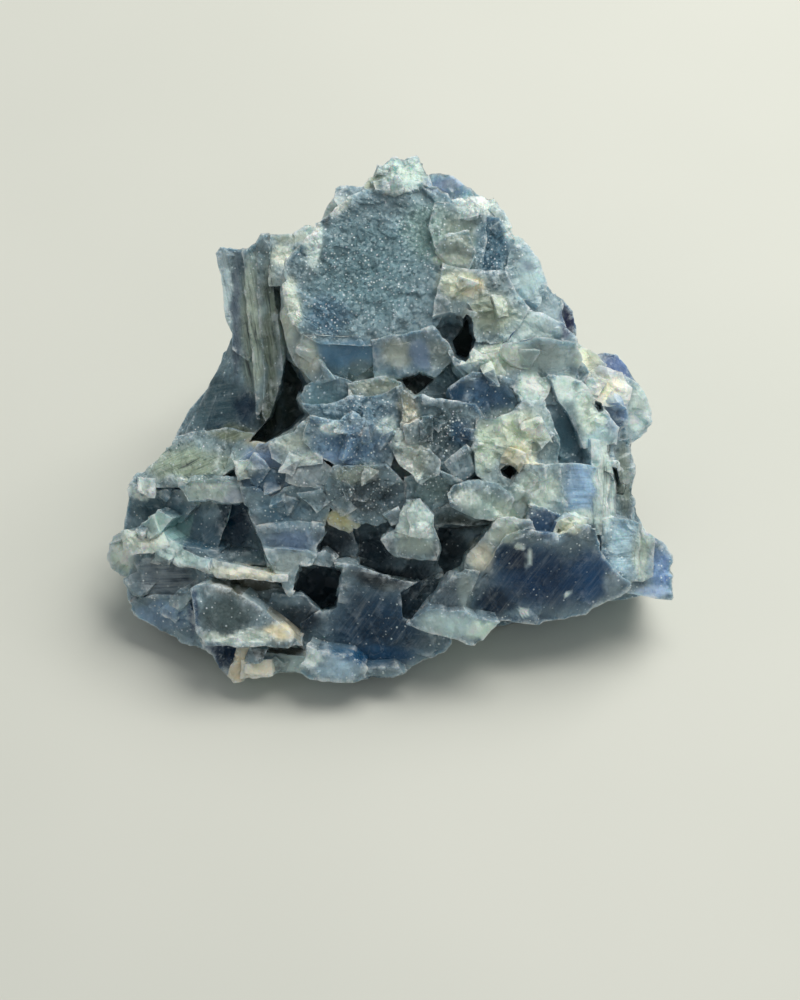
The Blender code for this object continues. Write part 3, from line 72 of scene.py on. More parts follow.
# What the surface is like, part by part: name, middle (u, v), reach in u and v, colour as seen in
# daylight (0 to 255), how sugary, how crumbly, how strongly it is striated, and which way the
# striations run, in degrees from u.
GROWTHS = [
    # crown
    ("sugary slab", -4.0, 19.0, 10.5, 9.5, (90, 114, 126), 1.0, 0.05, 0.0, 0),
    ("slab, greener corner", 3.5, 23.5, 4.0, 4.5, (108, 128, 130), 0.8, 0.1, 0.0, 0),
    ("slab, blue depths", -9.0, 13.0, 3.0, 3.0, (70, 94, 116), 0.9, 0.05, 0.0, 0),
    ("slab, pale rim", -14.0, 13.5, 1.3, 5.0, (172, 174, 168), 0.4, 0.6, 0.0, 0),
    ("slab, pale rim foot", -11.8, 8.0, 1.8, 2.6, (166, 166, 160), 0.3, 0.7, 0.0, 0),
    ("slab, upper left edge", -11.0, 22.5, 1.2, 3.5, (190, 198, 200), 0.8, 0.4, 0.0, 0),
    ("blue band", -6.8, 8.4, 4.4, 1.9, (80, 108, 134), 0.05, 0.05, 0.0, 0),
    ("grey band", -0.3, 8.3, 2.4, 1.8, (138, 140, 134), 0.1, 0.2, 0.0, 0),
    ("violet band", 2.4, 8.3, 1.6, 1.8, (104, 118, 142), 0.1, 0.1, 0.0, 0),
    ("granular lip", 5.0, 8.2, 1.8, 2.2, (124, 130, 130), 0.8, 0.4, 0.0, 0),
    ("peak", 0.6, 30.6, 3.6, 2.4, (160, 170, 170), 0.7, 0.7, 0.0, 0),
    ("peak, brown side", -3.6, 30.2, 1.6, 1.3, (128, 130, 118), 0.1, 0.6, 0.0, 0),
    ("white shoulder", -8.2, 27.2, 1.7, 1.4, (198, 198, 196), 0.5, 0.6, 0.0, 0),
    ("dark spur", -9.4, 25.9, 0.9, 1.6, (44, 52, 54), 0.0, 0.1, 0.0, 0),
    ("violet shoulder", 6.4, 29.5, 3.4, 1.3, (122, 130, 150), 0.1, 0.3, 0.0, 0),
    ("white crust", 10.2, 26.8, 3.2, 1.3, (188, 196, 196), 0.9, 0.8, 0.0, 0),
    ("white crust, lower", 13.9, 23.4, 1.5, 1.3, (182, 190, 188), 0.8, 0.8, 0.0, 0),
    ("starry lens", 11.4, 21.6, 2.2, 4.0, (80, 106, 126), 1.0, 0.2, 0.0, 0),
    ("grey mound", 7.0, 23.0, 3.0, 3.2, (128, 136, 132), 0.4, 0.5, 0.0, 0),
    ("mound ridge", 6.4, 20.0, 2.2, 0.8, (196, 200, 192), 0.2, 0.5, 0.0, -40),
    ("clear tooth", 16.3, 17.8, 1.9, 3.2, (150, 166, 174), 0.1, 0.1, 0.3, -70),
    ("tooth, dark heart", 16.0, 19.0, 0.9, 0.9, (98, 108, 128), 0.0, 0.1, 0.0, 0),
    ("shoulder ridge", 18.8, 13.2, 2.2, 2.6, (132, 144, 154), 0.1, 0.3, 0.0, 0),
    ("navy sliver", 20.9, 12.8, 1.0, 2.8, (50, 52, 82), 0.0, 0.1, 0.0, 0),
    ("cream slope", 7.6, 17.0, 3.0, 2.2, (168, 168, 156), 0.4, 0.6, 0.0, 0),
    ("cream patch", 9.4, 16.6, 1.3, 1.2, (226, 214, 196), 0.4, 0.6, 0.0, 0),
    ("green slope", 11.6, 13.4, 3.4, 2.6, (136, 142, 132), 0.2, 0.5, 0.0, 0),
    ("grey terrace", 16.5, 11.6, 4.0, 2.4, (144, 156, 160), 0.1, 0.2, 0.3, -40),
    ("grey eave", 18.0, 8.0, 4.6, 2.2, (126, 136, 140), 0.1, 0.2, 0.0, 0),
    ("black pit", 8.0, 10.2, 1.2, 2.4, (74, 84, 84), 0.0, 0.4, 0.0, 0),

    # right flank
    ("outer shoulder", 23.4, 8.0, 1.8, 1.8, (172, 172, 160), 0.1, 0.5, 0.0, 0),
    ("knob, blue flank", 27.0, 6.8, 2.4, 1.6, (84, 100, 138), 0.1, 0.2, 0.0, 0),
    ("knob, cream face", 26.0, 4.0, 2.2, 1.6, (206, 198, 180), 0.3, 0.6, 0.0, 0),
    ("knob, outer edge", 29.8, 1.6, 1.3, 3.2, (168, 178, 180), 0.1, 0.4, 0.0, 0),
    ("knob, nook", 27.0, 0.4, 1.6, 2.6, (104, 122, 150), 0.2, 0.4, 0.0, 0),
    ("pinhole shade", 24.8, 1.7, 0.8, 0.8, (50, 54, 50), 0.0, 0.4, 0.0, 0),
    ("leaning plate", 23.8, 1.4, 2.4, 3.6, (184, 194, 190), 0.3, 0.5, 0.0, 0),
    ("leaning plate, left", 20.4, 4.2, 1.4, 1.8, (176, 190, 190), 0.1, 0.2, 0.0, 0),
    ("leaning plate, foot", 24.6, -2.4, 1.8, 1.6, (150, 168, 180), 0.1, 0.3, 0.0, 0),
    ("teal rhomb", 21.0, -1.6, 2.0, 4.0, (62, 86, 100), 0.1, 0.0, 0.0, 0),
    ("pale saddle", 12.4, 7.8, 4.2, 2.0, (184, 190, 180), 0.5, 0.7, 0.0, 0),
    ("saddle, right", 16.6, 4.2, 1.8, 1.8, (168, 180, 176), 0.3, 0.6, 0.0, 0),
    ("blue lens", 11.2, 3.0, 3.2, 2.2, (66, 92, 122), 0.5, 0.1, 0.0, 0),
    ("blue lens, left end", 7.2, 3.6, 1.3, 1.3, (38, 66, 92), 0.1, 0.1, 0.0, 0),
    ("matrix", 14.8, -1.6, 3.8, 3.4, (166, 172, 160), 0.4, 0.9, 0.0, 0),
    ("matrix, beige heart", 15.2, -4.2, 2.2, 1.8, (192, 184, 164), 0.4, 0.8, 0.0, 0),
    ("matrix, green edge", 10.8, -3.4, 1.6, 3.6, (146, 156, 148), 0.4, 0.9, 0.0, 0),
    ("matrix pinhole", 13.6, -6.4, 0.8, 0.7, (40, 44, 36), 0.0, 0.4, 0.0, 0),
    ("matrix foot", 17.2, -8.8, 3.0, 2.6, (176, 186, 184), 0.5, 0.7, 0.0, 0),
    ("matrix edge", 13.4, -11.6, 1.6, 1.8, (180, 188, 182), 0.3, 0.8, 0.0, 0),
    ("ice block", 22.4, -8.8, 2.4, 3.8, (130, 154, 184), 0.1, 0.1, 0.4, 0),
    ("ice block, milky foot", 22.6, -12.2, 2.0, 1.2, (178, 186, 186), 0.3, 0.5, 0.0, 0),
    ("upright sheets", 25.4, -8.0, 1.3, 5.6, (176, 188, 188), 0.1, 0.3, 0.8, 90),
    ("right wall", 28.0, -7.4, 1.3, 4.6, (112, 120, 116), 0.1, 0.4, 0.6, 90),
    ("tail, inner block", 27.6, -16.2, 1.8, 3.6, (142, 162, 178), 0.3, 0.2, 0.6, 0),
    ("tail, bands", 30.2, -16.6, 1.1, 3.0, (176, 186, 182), 0.2, 0.4, 0.8, 90),
    ("tail, end", 32.4, -18.6, 1.6, 3.0, (104, 126, 162), 0.5, 0.1, 0.0, 0),
    ("tail, under edge", 31.4, -21.6, 2.6, 0.9, (150, 166, 196), 0.1, 0.1, 0.0, 0),

    # lower right
    ("navy face", 18.0, -19.8, 9.0, 5.4, (8, 46, 84), 0.1, 0.0, 0.35, 52),
    ("navy face, blackest", 14.4, -17.6, 2.6, 2.2, (3, 38, 66), 0.1, 0.05, 0.3, 52),
    ("navy face, right", 23.6, -19.6, 3.4, 3.4, (36, 70, 110), 0.1, 0.05, 0.35, 52),
    ("navy face, left foot", 12.0, -22.6, 2.6, 2.0, (22, 46, 70), 0.1, 0.1, 0.4, 52),
    ("navy face, under rim", 17.0, -25.0, 7.0, 0.5, (84, 100, 116), 0.3, 0.4, 0.0, 0),
    ("navy face, gritty end", 26.4, -20.0, 1.4, 1.6, (118, 132, 146), 0.7, 0.6, 0.0, 0),
    ("navy face, upper specks", 14.6, -15.9, 0.5, 0.5, (226, 232, 234), 0.6, 0.4, 0.0, 0),
    ("navy face, specks", 15.9, -17.3, 0.45, 1.1, (216, 224, 228), 0.6, 0.4, 0.0, 0),
    ("navy face, low speck", 20.7, -21.8, 0.5, 0.4, (210, 220, 226), 0.6, 0.4, 0.0, 0),
    ("navy face, rim speck", 15.4, -24.2, 0.6, 0.4, (216, 224, 228), 0.6, 0.4, 0.0, 0),
    ("navy chip", 18.0, -12.8, 1.9, 1.8, (68, 88, 114), 0.2, 0.1, 0.0, 0),
    ("white nub", 21.2, -13.3, 1.8, 1.0, (196, 196, 182), 0.4, 0.8, 0.0, 0),
    ("tan bar", 10.4, -17.2, 2.0, 2.2, (166, 160, 152), 0.2, 0.4, 0.0, 0),
    ("tan bar, top", 12.8, -14.2, 2.0, 1.4, (146, 152, 148), 0.2, 0.5, 0.0, 0),
    ("glassy bar", 5.8, -22.0, 1.8, 2.4, (78, 90, 104), 0.4, 0.2, 0.4, 52),
    ("glassy bar, light band", 8.2, -21.4, 0.9, 2.2, (134, 142, 146), 0.1, 0.2, 0.0, 0),
    ("pale foot plate", 5.6, -25.4, 4.2, 1.6, (142, 156, 162), 0.2, 0.1, 0.0, 0),
    ("pale foot plate, tip", 9.8, -26.4, 2.0, 1.3, (160, 172, 166), 0.1, 0.2, 0.0, 0),

    # foot
    ("blue foot face", -2.6, -25.4, 8.4, 6.0, (18, 52, 82), 0.2, 0.1, 0.5, 55),
    ("foot face, brown brow", -1.8, -19.6, 5.0, 1.7, (38, 46, 54), 0.2, 0.3, 0.3, 55),
    ("foot face, teal hem", -3.4, -29.4, 6.0, 1.6, (38, 74, 108), 0.2, 0.1, 0.0, 0),
    ("pale toe", -7.6, -31.0, 3.2, 1.4, (128, 146, 164), 0.2, 0.2, 0.0, 0),
    ("pale toe, corner", -11.3, -29.8, 1.0, 1.0, (196, 204, 206), 0.3, 0.4, 0.0, 0),
    ("beige stub", -20.3, -30.8, 1.2, 1.6, (178, 164, 146), 0.1, 0.3, 0.0, 0),
    ("cream brick", -17.8, -31.1, 1.8, 0.8, (192, 184, 172), 0.1, 0.3, 0.0, 0),
    ("grey sill", -14.2, -30.6, 2.2, 1.0, (132, 142, 146), 0.2, 0.3, 0.0, 0),
    ("shade under plate", -16.0, -28.9, 4.0, 0.6, (62, 62, 60), 0.0, 0.3, 0.0, 0),
    ("indigo wedge", -22.6, -29.4, 1.9, 1.9, (38, 56, 84), 0.1, 0.2, 0.0, 0),
    ("grey plate", -21.4, -24.4, 4.0, 3.0, (68, 78, 82), 0.2, 0.05, 0.0, 0),
    ("grey plate, crust", -20.0, -27.2, 5.2, 0.8, (190, 196, 194), 0.4, 0.7, 0.0, 0),
    ("grey plate, tan tip", -15.0, -26.6, 2.2, 1.1, (194, 180, 156), 0.1, 0.2, 0.0, 0),
    ("brown back", -19.4, -20.8, 4.4, 1.4, (80, 78, 70), 0.1, 0.4, 0.0, 0),
    ("slate step", -12.8, -25.0, 2.8, 2.4, (34, 46, 58), 0.2, 0.2, 0.0, 0),
    ("black pocket", -10.2, -21.0, 2.8, 2.6, (64, 76, 88), 0.0, 0.4, 0.0, 0),

    # left cheek
    ("mottled cheek", -30.2, -24.6, 3.6, 2.0, (104, 124, 150), 0.5, 0.5, 0.0, 0),
    ("cheek, dark strip", -25.8, -24.2, 0.8, 3.4, (34, 54, 82), 0.0, 0.1, 0.0, 0),
    ("striated cheek", -29.6, -19.6, 4.0, 2.6, (104, 112, 124), 0.2, 0.2, 1.0, 0),
    ("left nub", -34.8, -16.8, 1.8, 2.4, (166, 170, 166), 0.2, 0.9, 0.0, 0),
    ("pale rim, left", -32.4, -15.2, 2.4, 1.1, (190, 194, 188), 0.3, 0.9, 0.0, 0),
    ("pale rim, middle", -27.6, -16.8, 3.0, 0.9, (160, 176, 178), 0.2, 0.5, 0.0, 0),
    ("pale rim, right", -18.6, -19.0, 4.2, 0.8, (202, 196, 180), 0.3, 0.7, 0.0, 0),
    ("crushed corner", -32.0, -8.8, 2.0, 0.9, (206, 212, 212), 0.4, 0.8, 0.0, 0),
    ("teal cheek", -30.0, -10.8, 3.6, 1.5, (62, 84, 98), 0.1, 0.2, 0.2, 0),
    ("pale tooth", -30.4, -13.0, 1.2, 1.4, (152, 168, 168), 0.1, 0.2, 0.0, 0),
    ("pale ledge", -23.8, -9.4, 3.4, 1.2, (150, 160, 160), 0.3, 0.6, 0.0, 0),
    ("pale ledge, white brow", -24.4, -8.1, 3.4, 0.5, (220, 226, 226), 0.4, 0.8, 0.0, 0),
    ("pale ledge, lilac end", -20.8, -9.8, 1.3, 1.1, (124, 130, 148), 0.1, 0.2, 0.0, 0),
    ("striated ledge", -26.6, -5.6, 6.4, 2.4, (124, 134, 122), 0.2, 0.3, 1.0, 24),
    ("striated ledge, brown", -18.0, -3.0, 1.8, 0.9, (132, 124, 104), 0.1, 0.3, 0.8, 24),
    ("dark flank", -22.6, 1.8, 4.4, 4.6, (56, 76, 86), 0.1, 0.05, 0.4, 8),
    ("dark flank, navy spot", -19.4, 1.4, 1.6, 2.2, (28, 50, 72), 0.0, 0.05, 0.0, 0),
    ("dark flank, green foot", -21.0, -1.6, 3.4, 0.9, (98, 104, 88), 0.1, 0.3, 0.6, 24),
    ("alcove, pale end", -28.0, -13.8, 2.4, 2.0, (112, 138, 144), 0.1, 0.1, 0.0, 0),
    ("alcove, blue floor", -24.2, -15.0, 3.0, 2.4, (66, 92, 112), 0.3, 0.1, 0.3, 40),
    # The navy wall is the alcove's blue face made darker by painted shade from the overhang above
    # it.
    ("alcove, navy wall in painted shade", -20.4, -13.0, 2.4, 3.4, (20, 48, 70), 0.2, 0.05, 0.0, 0),

    # fin
    ("fin, outer edge", -22.0, 14.8, 0.6, 6.4, (158, 170, 178), 0.0, 0.2, 0.6, -76),
    ("fin, dark stripe", -20.6, 12.6, 0.7, 8.0, (88, 98, 112), 0.0, 0.1, 0.6, -76),
    ("fin, middle sheet", -18.6, 11.4, 1.5, 10.0, (140, 148, 140), 0.1, 0.2, 1.0, -80),
    ("fin, inner sheet", -16.2, 10.0, 1.1, 11.0, (98, 106, 96), 0.1, 0.3, 1.0, -80),
    ("fin, dark foot", -16.2, 0.6, 1.4, 2.6, (78, 84, 72), 0.0, 0.3, 0.8, -80),
    ("fin, pale facet", -14.8, 20.8, 1.2, 1.2, (196, 198, 192), 0.2, 0.4, 0.0, 0),
    ("fin, dark top", -14.0, 23.0, 2.4, 0.7, (98, 106, 100), 0.0, 0.4, 0.0, 0),
    ("crevice", -13.6, 3.0, 1.2, 5.0, (70, 80, 76), 0.0, 0.4, 0.0, 0),

    # middle
    ("teal step", -9.6, 2.8, 2.4, 2.2, (92, 114, 128), 0.3, 0.3, 0.0, 0),
    ("nook", -4.8, 6.6, 1.5, 1.6, (92, 100, 102), 0.3, 0.4, 0.0, 0),
    ("grey tongue", -2.8, 4.4, 3.0, 1.0, (132, 136, 130), 0.4, 0.6, 0.0, 0),
    ("black crack", 1.8, 4.8, 2.0, 1.0, (30, 34, 32), 0.1, 0.5, 0.0, 0),
    ("slate plate, upper", -5.4, 0.9, 5.4, 2.2, (96, 116, 134), 0.8, 0.5, 0.0, 0),
    ("slate plate, lower", -6.4, -3.2, 5.4, 2.4, (88, 110, 136), 0.8, 0.5, 0.0, 0),
    ("slate plate, blue face", -8.0, -4.6, 2.2, 1.0, (110, 130, 160), 0.3, 0.1, 0.0, 0),
    ("pale arm", -13.6, -2.6, 2.2, 1.3, (152, 158, 156), 0.3, 0.5, 0.0, 0),
    ("violet step", -17.6, -4.6, 2.2, 1.3, (104, 120, 148), 0.2, 0.3, 0.0, 0),
    ("white corner", -19.3, -6.2, 1.2, 1.0, (216, 222, 220), 0.5, 0.8, 0.0, 0),
    ("white streak", -12.0, -4.8, 2.0, 0.5, (224, 232, 234), 0.5, 0.5, 0.0, 0),
    ("blue step", -16.6, -7.8, 2.6, 1.2, (72, 94, 118), 0.3, 0.3, 0.0, 0),
    ("grey step", -11.4, -6.6, 2.6, 1.2, (130, 138, 148), 0.4, 0.4, 0.0, 0),
    ("pendant, brow", -15.0, -11.2, 3.2, 1.8, (78, 100, 118), 0.3, 0.2, 0.0, 0),
    ("pendant, cheek", -13.4, -14.8, 3.0, 1.5, (92, 108, 134), 0.2, 0.2, 0.0, 0),
    ("pendant, tip", -13.8, -18.0, 2.0, 1.8, (128, 136, 142), 0.2, 0.4, 0.0, 0),
    ("black window", -8.2, -15.4, 2.4, 2.2, (50, 58, 66), 0.2, 0.4, 0.0, 0),
    ("honey patch", -7.6, -12.4, 1.6, 0.9, (150, 144, 116), 0.5, 0.6, 0.0, 0),
    ("gritty brow", -4.0, -9.2, 4.0, 2.6, (66, 76, 84), 1.0, 0.7, 0.0, 0),
    ("gritty brow, pale grit", -5.4, -6.6, 3.0, 1.4, (128, 134, 132), 1.0, 0.8, 0.0, 0),
    ("crushed ridge", 1.8, -4.8, 2.4, 2.4, (176, 182, 182), 1.0, 0.9, 0.0, 0),
    ("sparkling ridge, top", -1.6, -0.8, 1.3, 1.0, (178, 188, 192), 1.0, 0.6, 0.0, 0),
    ("sparkling ridge, middle", 0.2, -2.6, 1.2, 1.2, (196, 206, 208), 1.0, 0.8, 0.0, 0),
    ("sparkling ridge, foot", 2.4, -6.4, 1.0, 1.3, (188, 196, 196), 1.0, 0.8, 0.0, 0),
    ("slate plate, white grit", -8.6, -1.2, 1.2, 0.8, (186, 196, 200), 1.0, 0.6, 0.0, 0),
    ("gritty mound", 5.4, -1.6, 3.8, 3.6, (70, 84, 92), 1.0, 0.5, 0.0, 0),
    ("gritty mound, blue heart", 7.4, -1.6, 1.8, 1.6, (54, 80, 108), 0.6, 0.3, 0.0, 0),
    ("pale vein", 1.0, 1.4, 1.3, 2.6, (168, 164, 156), 1.0, 0.8, 0.0, 0),
    ("mound foot", 4.0, -8.8, 3.0, 2.0, (100, 116, 122), 0.7, 0.6, 0.0, 0),
    ("milky nodule", 10.6, -10.4, 3.0, 1.9, (124, 138, 138), 0.3, 0.4, 0.0, 0),
    ("nodule, white patch", 8.6, -10.0, 1.7, 1.0, (232, 238, 238), 0.4, 0.4, 0.0, 0),
    ("nodule, shade", 8.0, -12.8, 3.8, 0.9, (54, 62, 62), 0.1, 0.3, 0.0, 0),
    ("pale pyramid", 1.6, -12.2, 1.7, 1.8, (172, 182, 184), 0.4, 0.5, 0.0, 0),
    ("pyramid, white foot", 1.4, -14.2, 2.4, 0.5, (206, 212, 212), 0.4, 0.6, 0.0, 0),
    ("grey apron", 1.8, -15.8, 2.8, 1.4, (130, 138, 138), 0.3, 0.3, 0.0, 0),
    ("valley, east", 6.4, -15.8, 2.6, 2.6, (46, 58, 66), 0.2, 0.5, 0.0, 0),
    ("valley, west", -3.2, -16.4, 3.4, 2.2, (44, 58, 70), 0.3, 0.5, 0.0, 0),
    ("valley, south", 2.0, -20.0, 2.4, 2.6, (52, 66, 78), 0.2, 0.4, 0.3, 55),
    ("slate chip", -1.6, -20.4, 1.0, 0.8, (110, 116, 122), 0.2, 0.2, 0.0, 0),
]

# Between the growths the stone is plain: how little that counts beside a growth, and how it looks.
PLAIN_SHARE = 0.004
PLAIN_TONE = (105, 120, 132)
PLAIN_SUGAR = 0.4
PLAIN_CRUMBLE = 0.5

# How fast a growth fades away from its middle, how much more a small one counts than a large one,
# and the waves of its border: their length and sway in mm.
GROWTH_FADE = 2.6
GROWTH_SMALLNESS = 0.4
BORDER_WAVES = [(2.2, 1.1), (0.9, 0.5)]

# The show side ends where faces turn away from the eye, and this deep behind w = 0, in mm.
SHOW_TURN = 0.10
SHOW_DEPTH = 15.0
SHOW_BLEND = 4.0

# The hidden sides: the colours of their facets, from dark to pale, and how sugary and crumbly they
# are.
HIDDEN_TONES = [(42, 60, 88), (66, 86, 110), (88, 108, 130), (108, 130, 148), (118, 134, 138),
                (142, 160, 172), (170, 184, 190)]
HIDDEN_SUGAR = 0.25
HIDDEN_CRUMBLE = 0.32


def daylight(colour):
    """Linear light for a colour, or an array of colours, given from 0 to 255."""
    share = np.asarray(colour, float) / 255.0
    return np.where(share > 0.04045, ((share + 0.055) / 1.055) ** 2.4, share / 12.92)


def part_of(values, whole):
    """How much of a whole the values are, from 0 to 1."""
    return np.clip(values / whole, 0.0, 1.0)


def sighted(points):
    """The u, v and w of points given in metres in the lump's frame."""
    offset = points / MM - MIDDLE
    w = offset @ OUT
    narrowing = 1.0 - w / EYE_DISTANCE
    return (offset @ ALONG) / narrowing, EYE_V + (offset @ UP - EYE_V) / narrowing, w


def scatter(cells, seed):
    """A fixed number from 0 to 1 for each whole-numbered cell of space."""
    x, y, z = (cells[:, i].astype(np.int64) for i in range(3))
    mixed = (x * 73856093) ^ (y * 19349663) ^ (z * 83492791) ^ (seed * 2654435761)
    mixed = (mixed ^ (mixed >> 13)) * 1274126177
    mixed = mixed ^ (mixed >> 16)
    return (mixed & 0xFFFFF) / float(0x100000)


def cloud(points, size, seed):
    """Soft noise from 0 to 1 whose lumps are that size, for points in mm."""
    place = points / size
    corner = np.floor(place)
    part = place - corner
    part = part * part * (3.0 - 2.0 * part)
    total = np.zeros(len(points))
    for step in itertools.product((0, 1), repeat=3):
        share = np.prod(np.where(np.array(step) == 1, part, 1.0 - part), axis=1)
        total += share * scatter(corner + step, seed)
    return total


def broken_relief(points, size, seed, tilt=1.0):
    """The height, about 0 to 1, of a surface broken into flat facets of that size in mm."""
    place = points / size
    home = np.floor(place)
    nearest = np.full(len(points), np.inf)
    height = np.zeros(len(points))
    for step in itertools.product((-1, 0, 1), repeat=3):
        cell = home + step
        middle = np.stack([scatter(cell, seed + i) for i in range(3)], axis=1) + cell
        slope = np.stack([scatter(cell, seed + 3 + i) for i in range(3)], axis=1) - 0.5
        gap = place - middle
        distance = (gap * gap).sum(axis=1)
        closer = distance < nearest
        nearest = np.where(closer, distance, nearest)
        flat = scatter(cell, seed + 6) + tilt * 2.0 * (gap * slope).sum(axis=1)
        height = np.where(closer, flat, height)
    return height


def growth_at(points):
    """Colour, sugar, crumble, striation strength and direction at show-side points in metres."""
    u, v, _ = sighted(points)
    for seed, (length, sway) in enumerate(BORDER_WAVES, 40):
        u = u + sway * (cloud(points / MM, length, seed) - 0.5)
        v = v + sway * (cloud(points / MM, length, seed + 2) - 0.5)
    total = np.full(len(points), PLAIN_SHARE)
    colour = total[:, None] * daylight(PLAIN_TONE)
    sugar, crumble, stripe = total * PLAIN_SUGAR, total * PLAIN_CRUMBLE, total * 0.0
    strongest = np.zeros(len(points))
    run = np.zeros(len(points))
    for _, u0, v0, reach_u, reach_v, tone, sweet, rough, lined, angle in GROWTHS:
        away = ((u - u0) / reach_u) ** 2 + ((v - v0) / reach_v) ** 2
        pull = np.exp(-GROWTH_FADE * away) / (reach_u * reach_v) ** GROWTH_SMALLNESS
        pull = pull * pull
        total += pull
        colour += pull[:, None] * daylight(tone)
        sugar += pull * sweet
        crumble += pull * rough
        stripe += pull * lined
        run = np.where(pull > strongest, math.radians(angle), run)
        strongest = np.maximum(strongest, pull)
    return colour / total[:, None], sugar / total, crumble / total, stripe / total, run


def share_on_show(points, normals):
    """From 0 to 1, how far a surface point in metres belongs to the show side."""
    eye = (MIDDLE + UP * EYE_V + OUT * EYE_DISTANCE) * MM
    sight = eye - points
    sight /= np.linalg.norm(sight, axis=1)[:, None]
    facing = (sight * normals).sum(axis=1)
    _, _, w = sighted(points)
    return part_of(facing + SHOW_TURN, 2.0 * SHOW_TURN) * part_of(w + SHOW_DEPTH, SHOW_BLEND)


SAME_POINT = 0.000001
stone = bmesh.new()
stone.from_mesh(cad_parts["calcite"].data)
bmesh.ops.remove_doubles(stone, verts=stone.verts, dist=SAME_POINT)
bmesh.ops.recalc_face_normals(stone, faces=stone.faces)

# Each flat crystal face keeps one number through all the working of the surface. Touching triangles
# belong to one face when the cosine between their normals is above this.
SAME_FACE = 0.9995
facet_layer = stone.faces.layers.int.new("facet")
stone.faces.ensure_lookup_table()
facet_middles = []
facet_normals = []
facet_areas = []
for start in stone.faces:
    if start[facet_layer] > 0:
        continue
    number = len(facet_middles) + 1
    start[facet_layer] = number
    group = [start]
    for face in group:
        for edge in face.edges:
            for other in edge.link_faces:
                if other[facet_layer] == 0 and other.normal.dot(start.normal) > SAME_FACE:
                    other[facet_layer] = number
                    group.append(other)
    area = sum(face.calc_area() for face in group)
    middle = sum((face.calc_center_median() * face.calc_area() for face in group), Vector())
    facet_middles.append(middle / max(area, 1e-12))
    facet_normals.append(start.normal.copy())
    facet_areas.append(area)
facet_middles = np.array([tuple(p) for p in facet_middles])
facet_normals = np.array([tuple(n) for n in facet_normals])
facet_areas = np.array(facet_areas) / MM ** 2
facet_shown = share_on_show(facet_middles, facet_normals)
facet_tone, facet_sugar = growth_at(facet_middles)[:2]

# The surface is cut finer until no edge is longer, in mm, than its part of the stone needs: sugary
# faces, the rest of the show side, the other sides and the flat base.
SUGAR_EDGE = 0.41
SHOW_EDGE = 0.68
REST_EDGE = 1.50
BASE_EDGE = 5.00
MOST_ROUNDS = 40
show_edge = np.where(facet_sugar > 0.6, SUGAR_EDGE, SHOW_EDGE)
longest = np.where(facet_shown > 0.3, show_edge, REST_EDGE)
is_base = (facet_normals[:, 2] < -0.98) & (facet_middles[:, 2] < 0.3 * MM)
longest = (np.where(is_base, BASE_EDGE, longest) * MM).tolist()
for _ in range(MOST_ROUNDS):
    too_long = [e for e in stone.edges
                if e.calc_length() > min(longest[f[facet_layer] - 1] for f in e.link_faces)]
    if not too_long:
        break
    # The longest go first, and only one edge of a triangle at a time, so that it falls in two.
    halved = set()
    chosen = []
    for edge in sorted(too_long, key=bmesh.types.BMEdge.calc_length, reverse=True):
        if halved.isdisjoint(edge.link_faces):
            halved.update(edge.link_faces)
            chosen.append(edge)
    bmesh.ops.subdivide_edges(stone, edges=chosen, cuts=1, use_single_edge=True)
stone.normal_update()

# How sharply the surface bends over each edge, in radians up to 1, tells where broken edges chip
# and go white, and where painted shade darkens the seams between crystals.
stone.verts.index_update()
count = len(stone.verts)
ends = np.array([(e.verts[0].index, e.verts[1].index) for e in stone.edges])
bends = np.array([e.calc_face_angle_signed(0.0) for e in stone.edges])
places = np.array([tuple(v.co) for v in stone.verts])
normals = np.array([tuple(v.normal) for v in stone.verts])
ridge = np.zeros(count)
crease = np.zeros(count)
for end in (0, 1):
    np.maximum.at(ridge, ends[:, end], bends)
    np.maximum.at(crease, ends[:, end], -bends)
ridge = np.minimum(ridge, 1.0)
crease = np.minimum(crease, 1.0)
neighbours = np.bincount(ends.ravel(), minlength=count)


def spread(values, rounds):
    """Values at the surface's points, averaged with their neighbours' that many times."""
    for _ in range(rounds):
        near = np.bincount(ends[:, 0], values[ends[:, 1]], count)
        near += np.bincount(ends[:, 1], values[ends[:, 0]], count)
        values = (values + near) / (1 + neighbours)
    return values


def swelling(rounds):
    """How far each point stands out of the surface around it, in mm."""
    smooth = np.stack([spread(places[:, i], rounds) for i in range(3)], axis=1)
    return ((places - smooth) * normals).sum(axis=1) / MM


shown = share_on_show(places, normals)
tone, sugar, crumble, stripe, run = growth_at(places)
sugar = shown * sugar + (1 - shown) * HIDDEN_SUGAR
crumble = shown * crumble + (1 - shown) * HIDDEN_CRUMBLE
stripe = shown * stripe

# The low relief. Crumbly stone is broken into facets of three sizes: their size and height in mm,
# the share of that height that glassy faces have too, how steeply the facets tilt, and a seed.
# Sugary stone has one small size, striations are long ribs, and sharp edges are chipped away.
BROKEN_SIZES = [(3.6, 0.80, 0.05, 0.8, 10),
                (1.7, 0.42, 0.06, 1.0, 20),
                (1.0, 0.14, 0.05, 1.0, 30)]
SUGAR_SIZE, SUGAR_HEIGHT, SUGAR_TILT = 0.62, 0.09, 1.4
RIB_WIDTH, RIB_HEIGHT, RIB_STRETCH = 0.9, 0.16, 14.0
CHIP_SIZE, CHIP_DEPTH, CHIP_RARITY = 1.1, 0.60, 0.35
ROUNDED_OFF = 0.35
spots = places / MM
u, v, _ = sighted(places)
along_rib = u * np.cos(run) + v * np.sin(run)
across_rib = v * np.cos(run) - u * np.sin(run)
grain_run = np.stack([across_rib, along_rib / RIB_STRETCH, np.zeros(count)], axis=1)
raised = np.zeros(count)
for size, tallness, glassy, steepness, seed in BROKEN_SIZES:
    facets = broken_relief(spots, size, seed, steepness) - 0.5
    raised += (glassy + crumble) * tallness * facets
raised += sugar * SUGAR_HEIGHT * (broken_relief(spots, SUGAR_SIZE, 50, SUGAR_TILT) - 0.5)
raised += stripe * RIB_HEIGHT * (cloud(grain_run, RIB_WIDTH, 60) - 0.5)
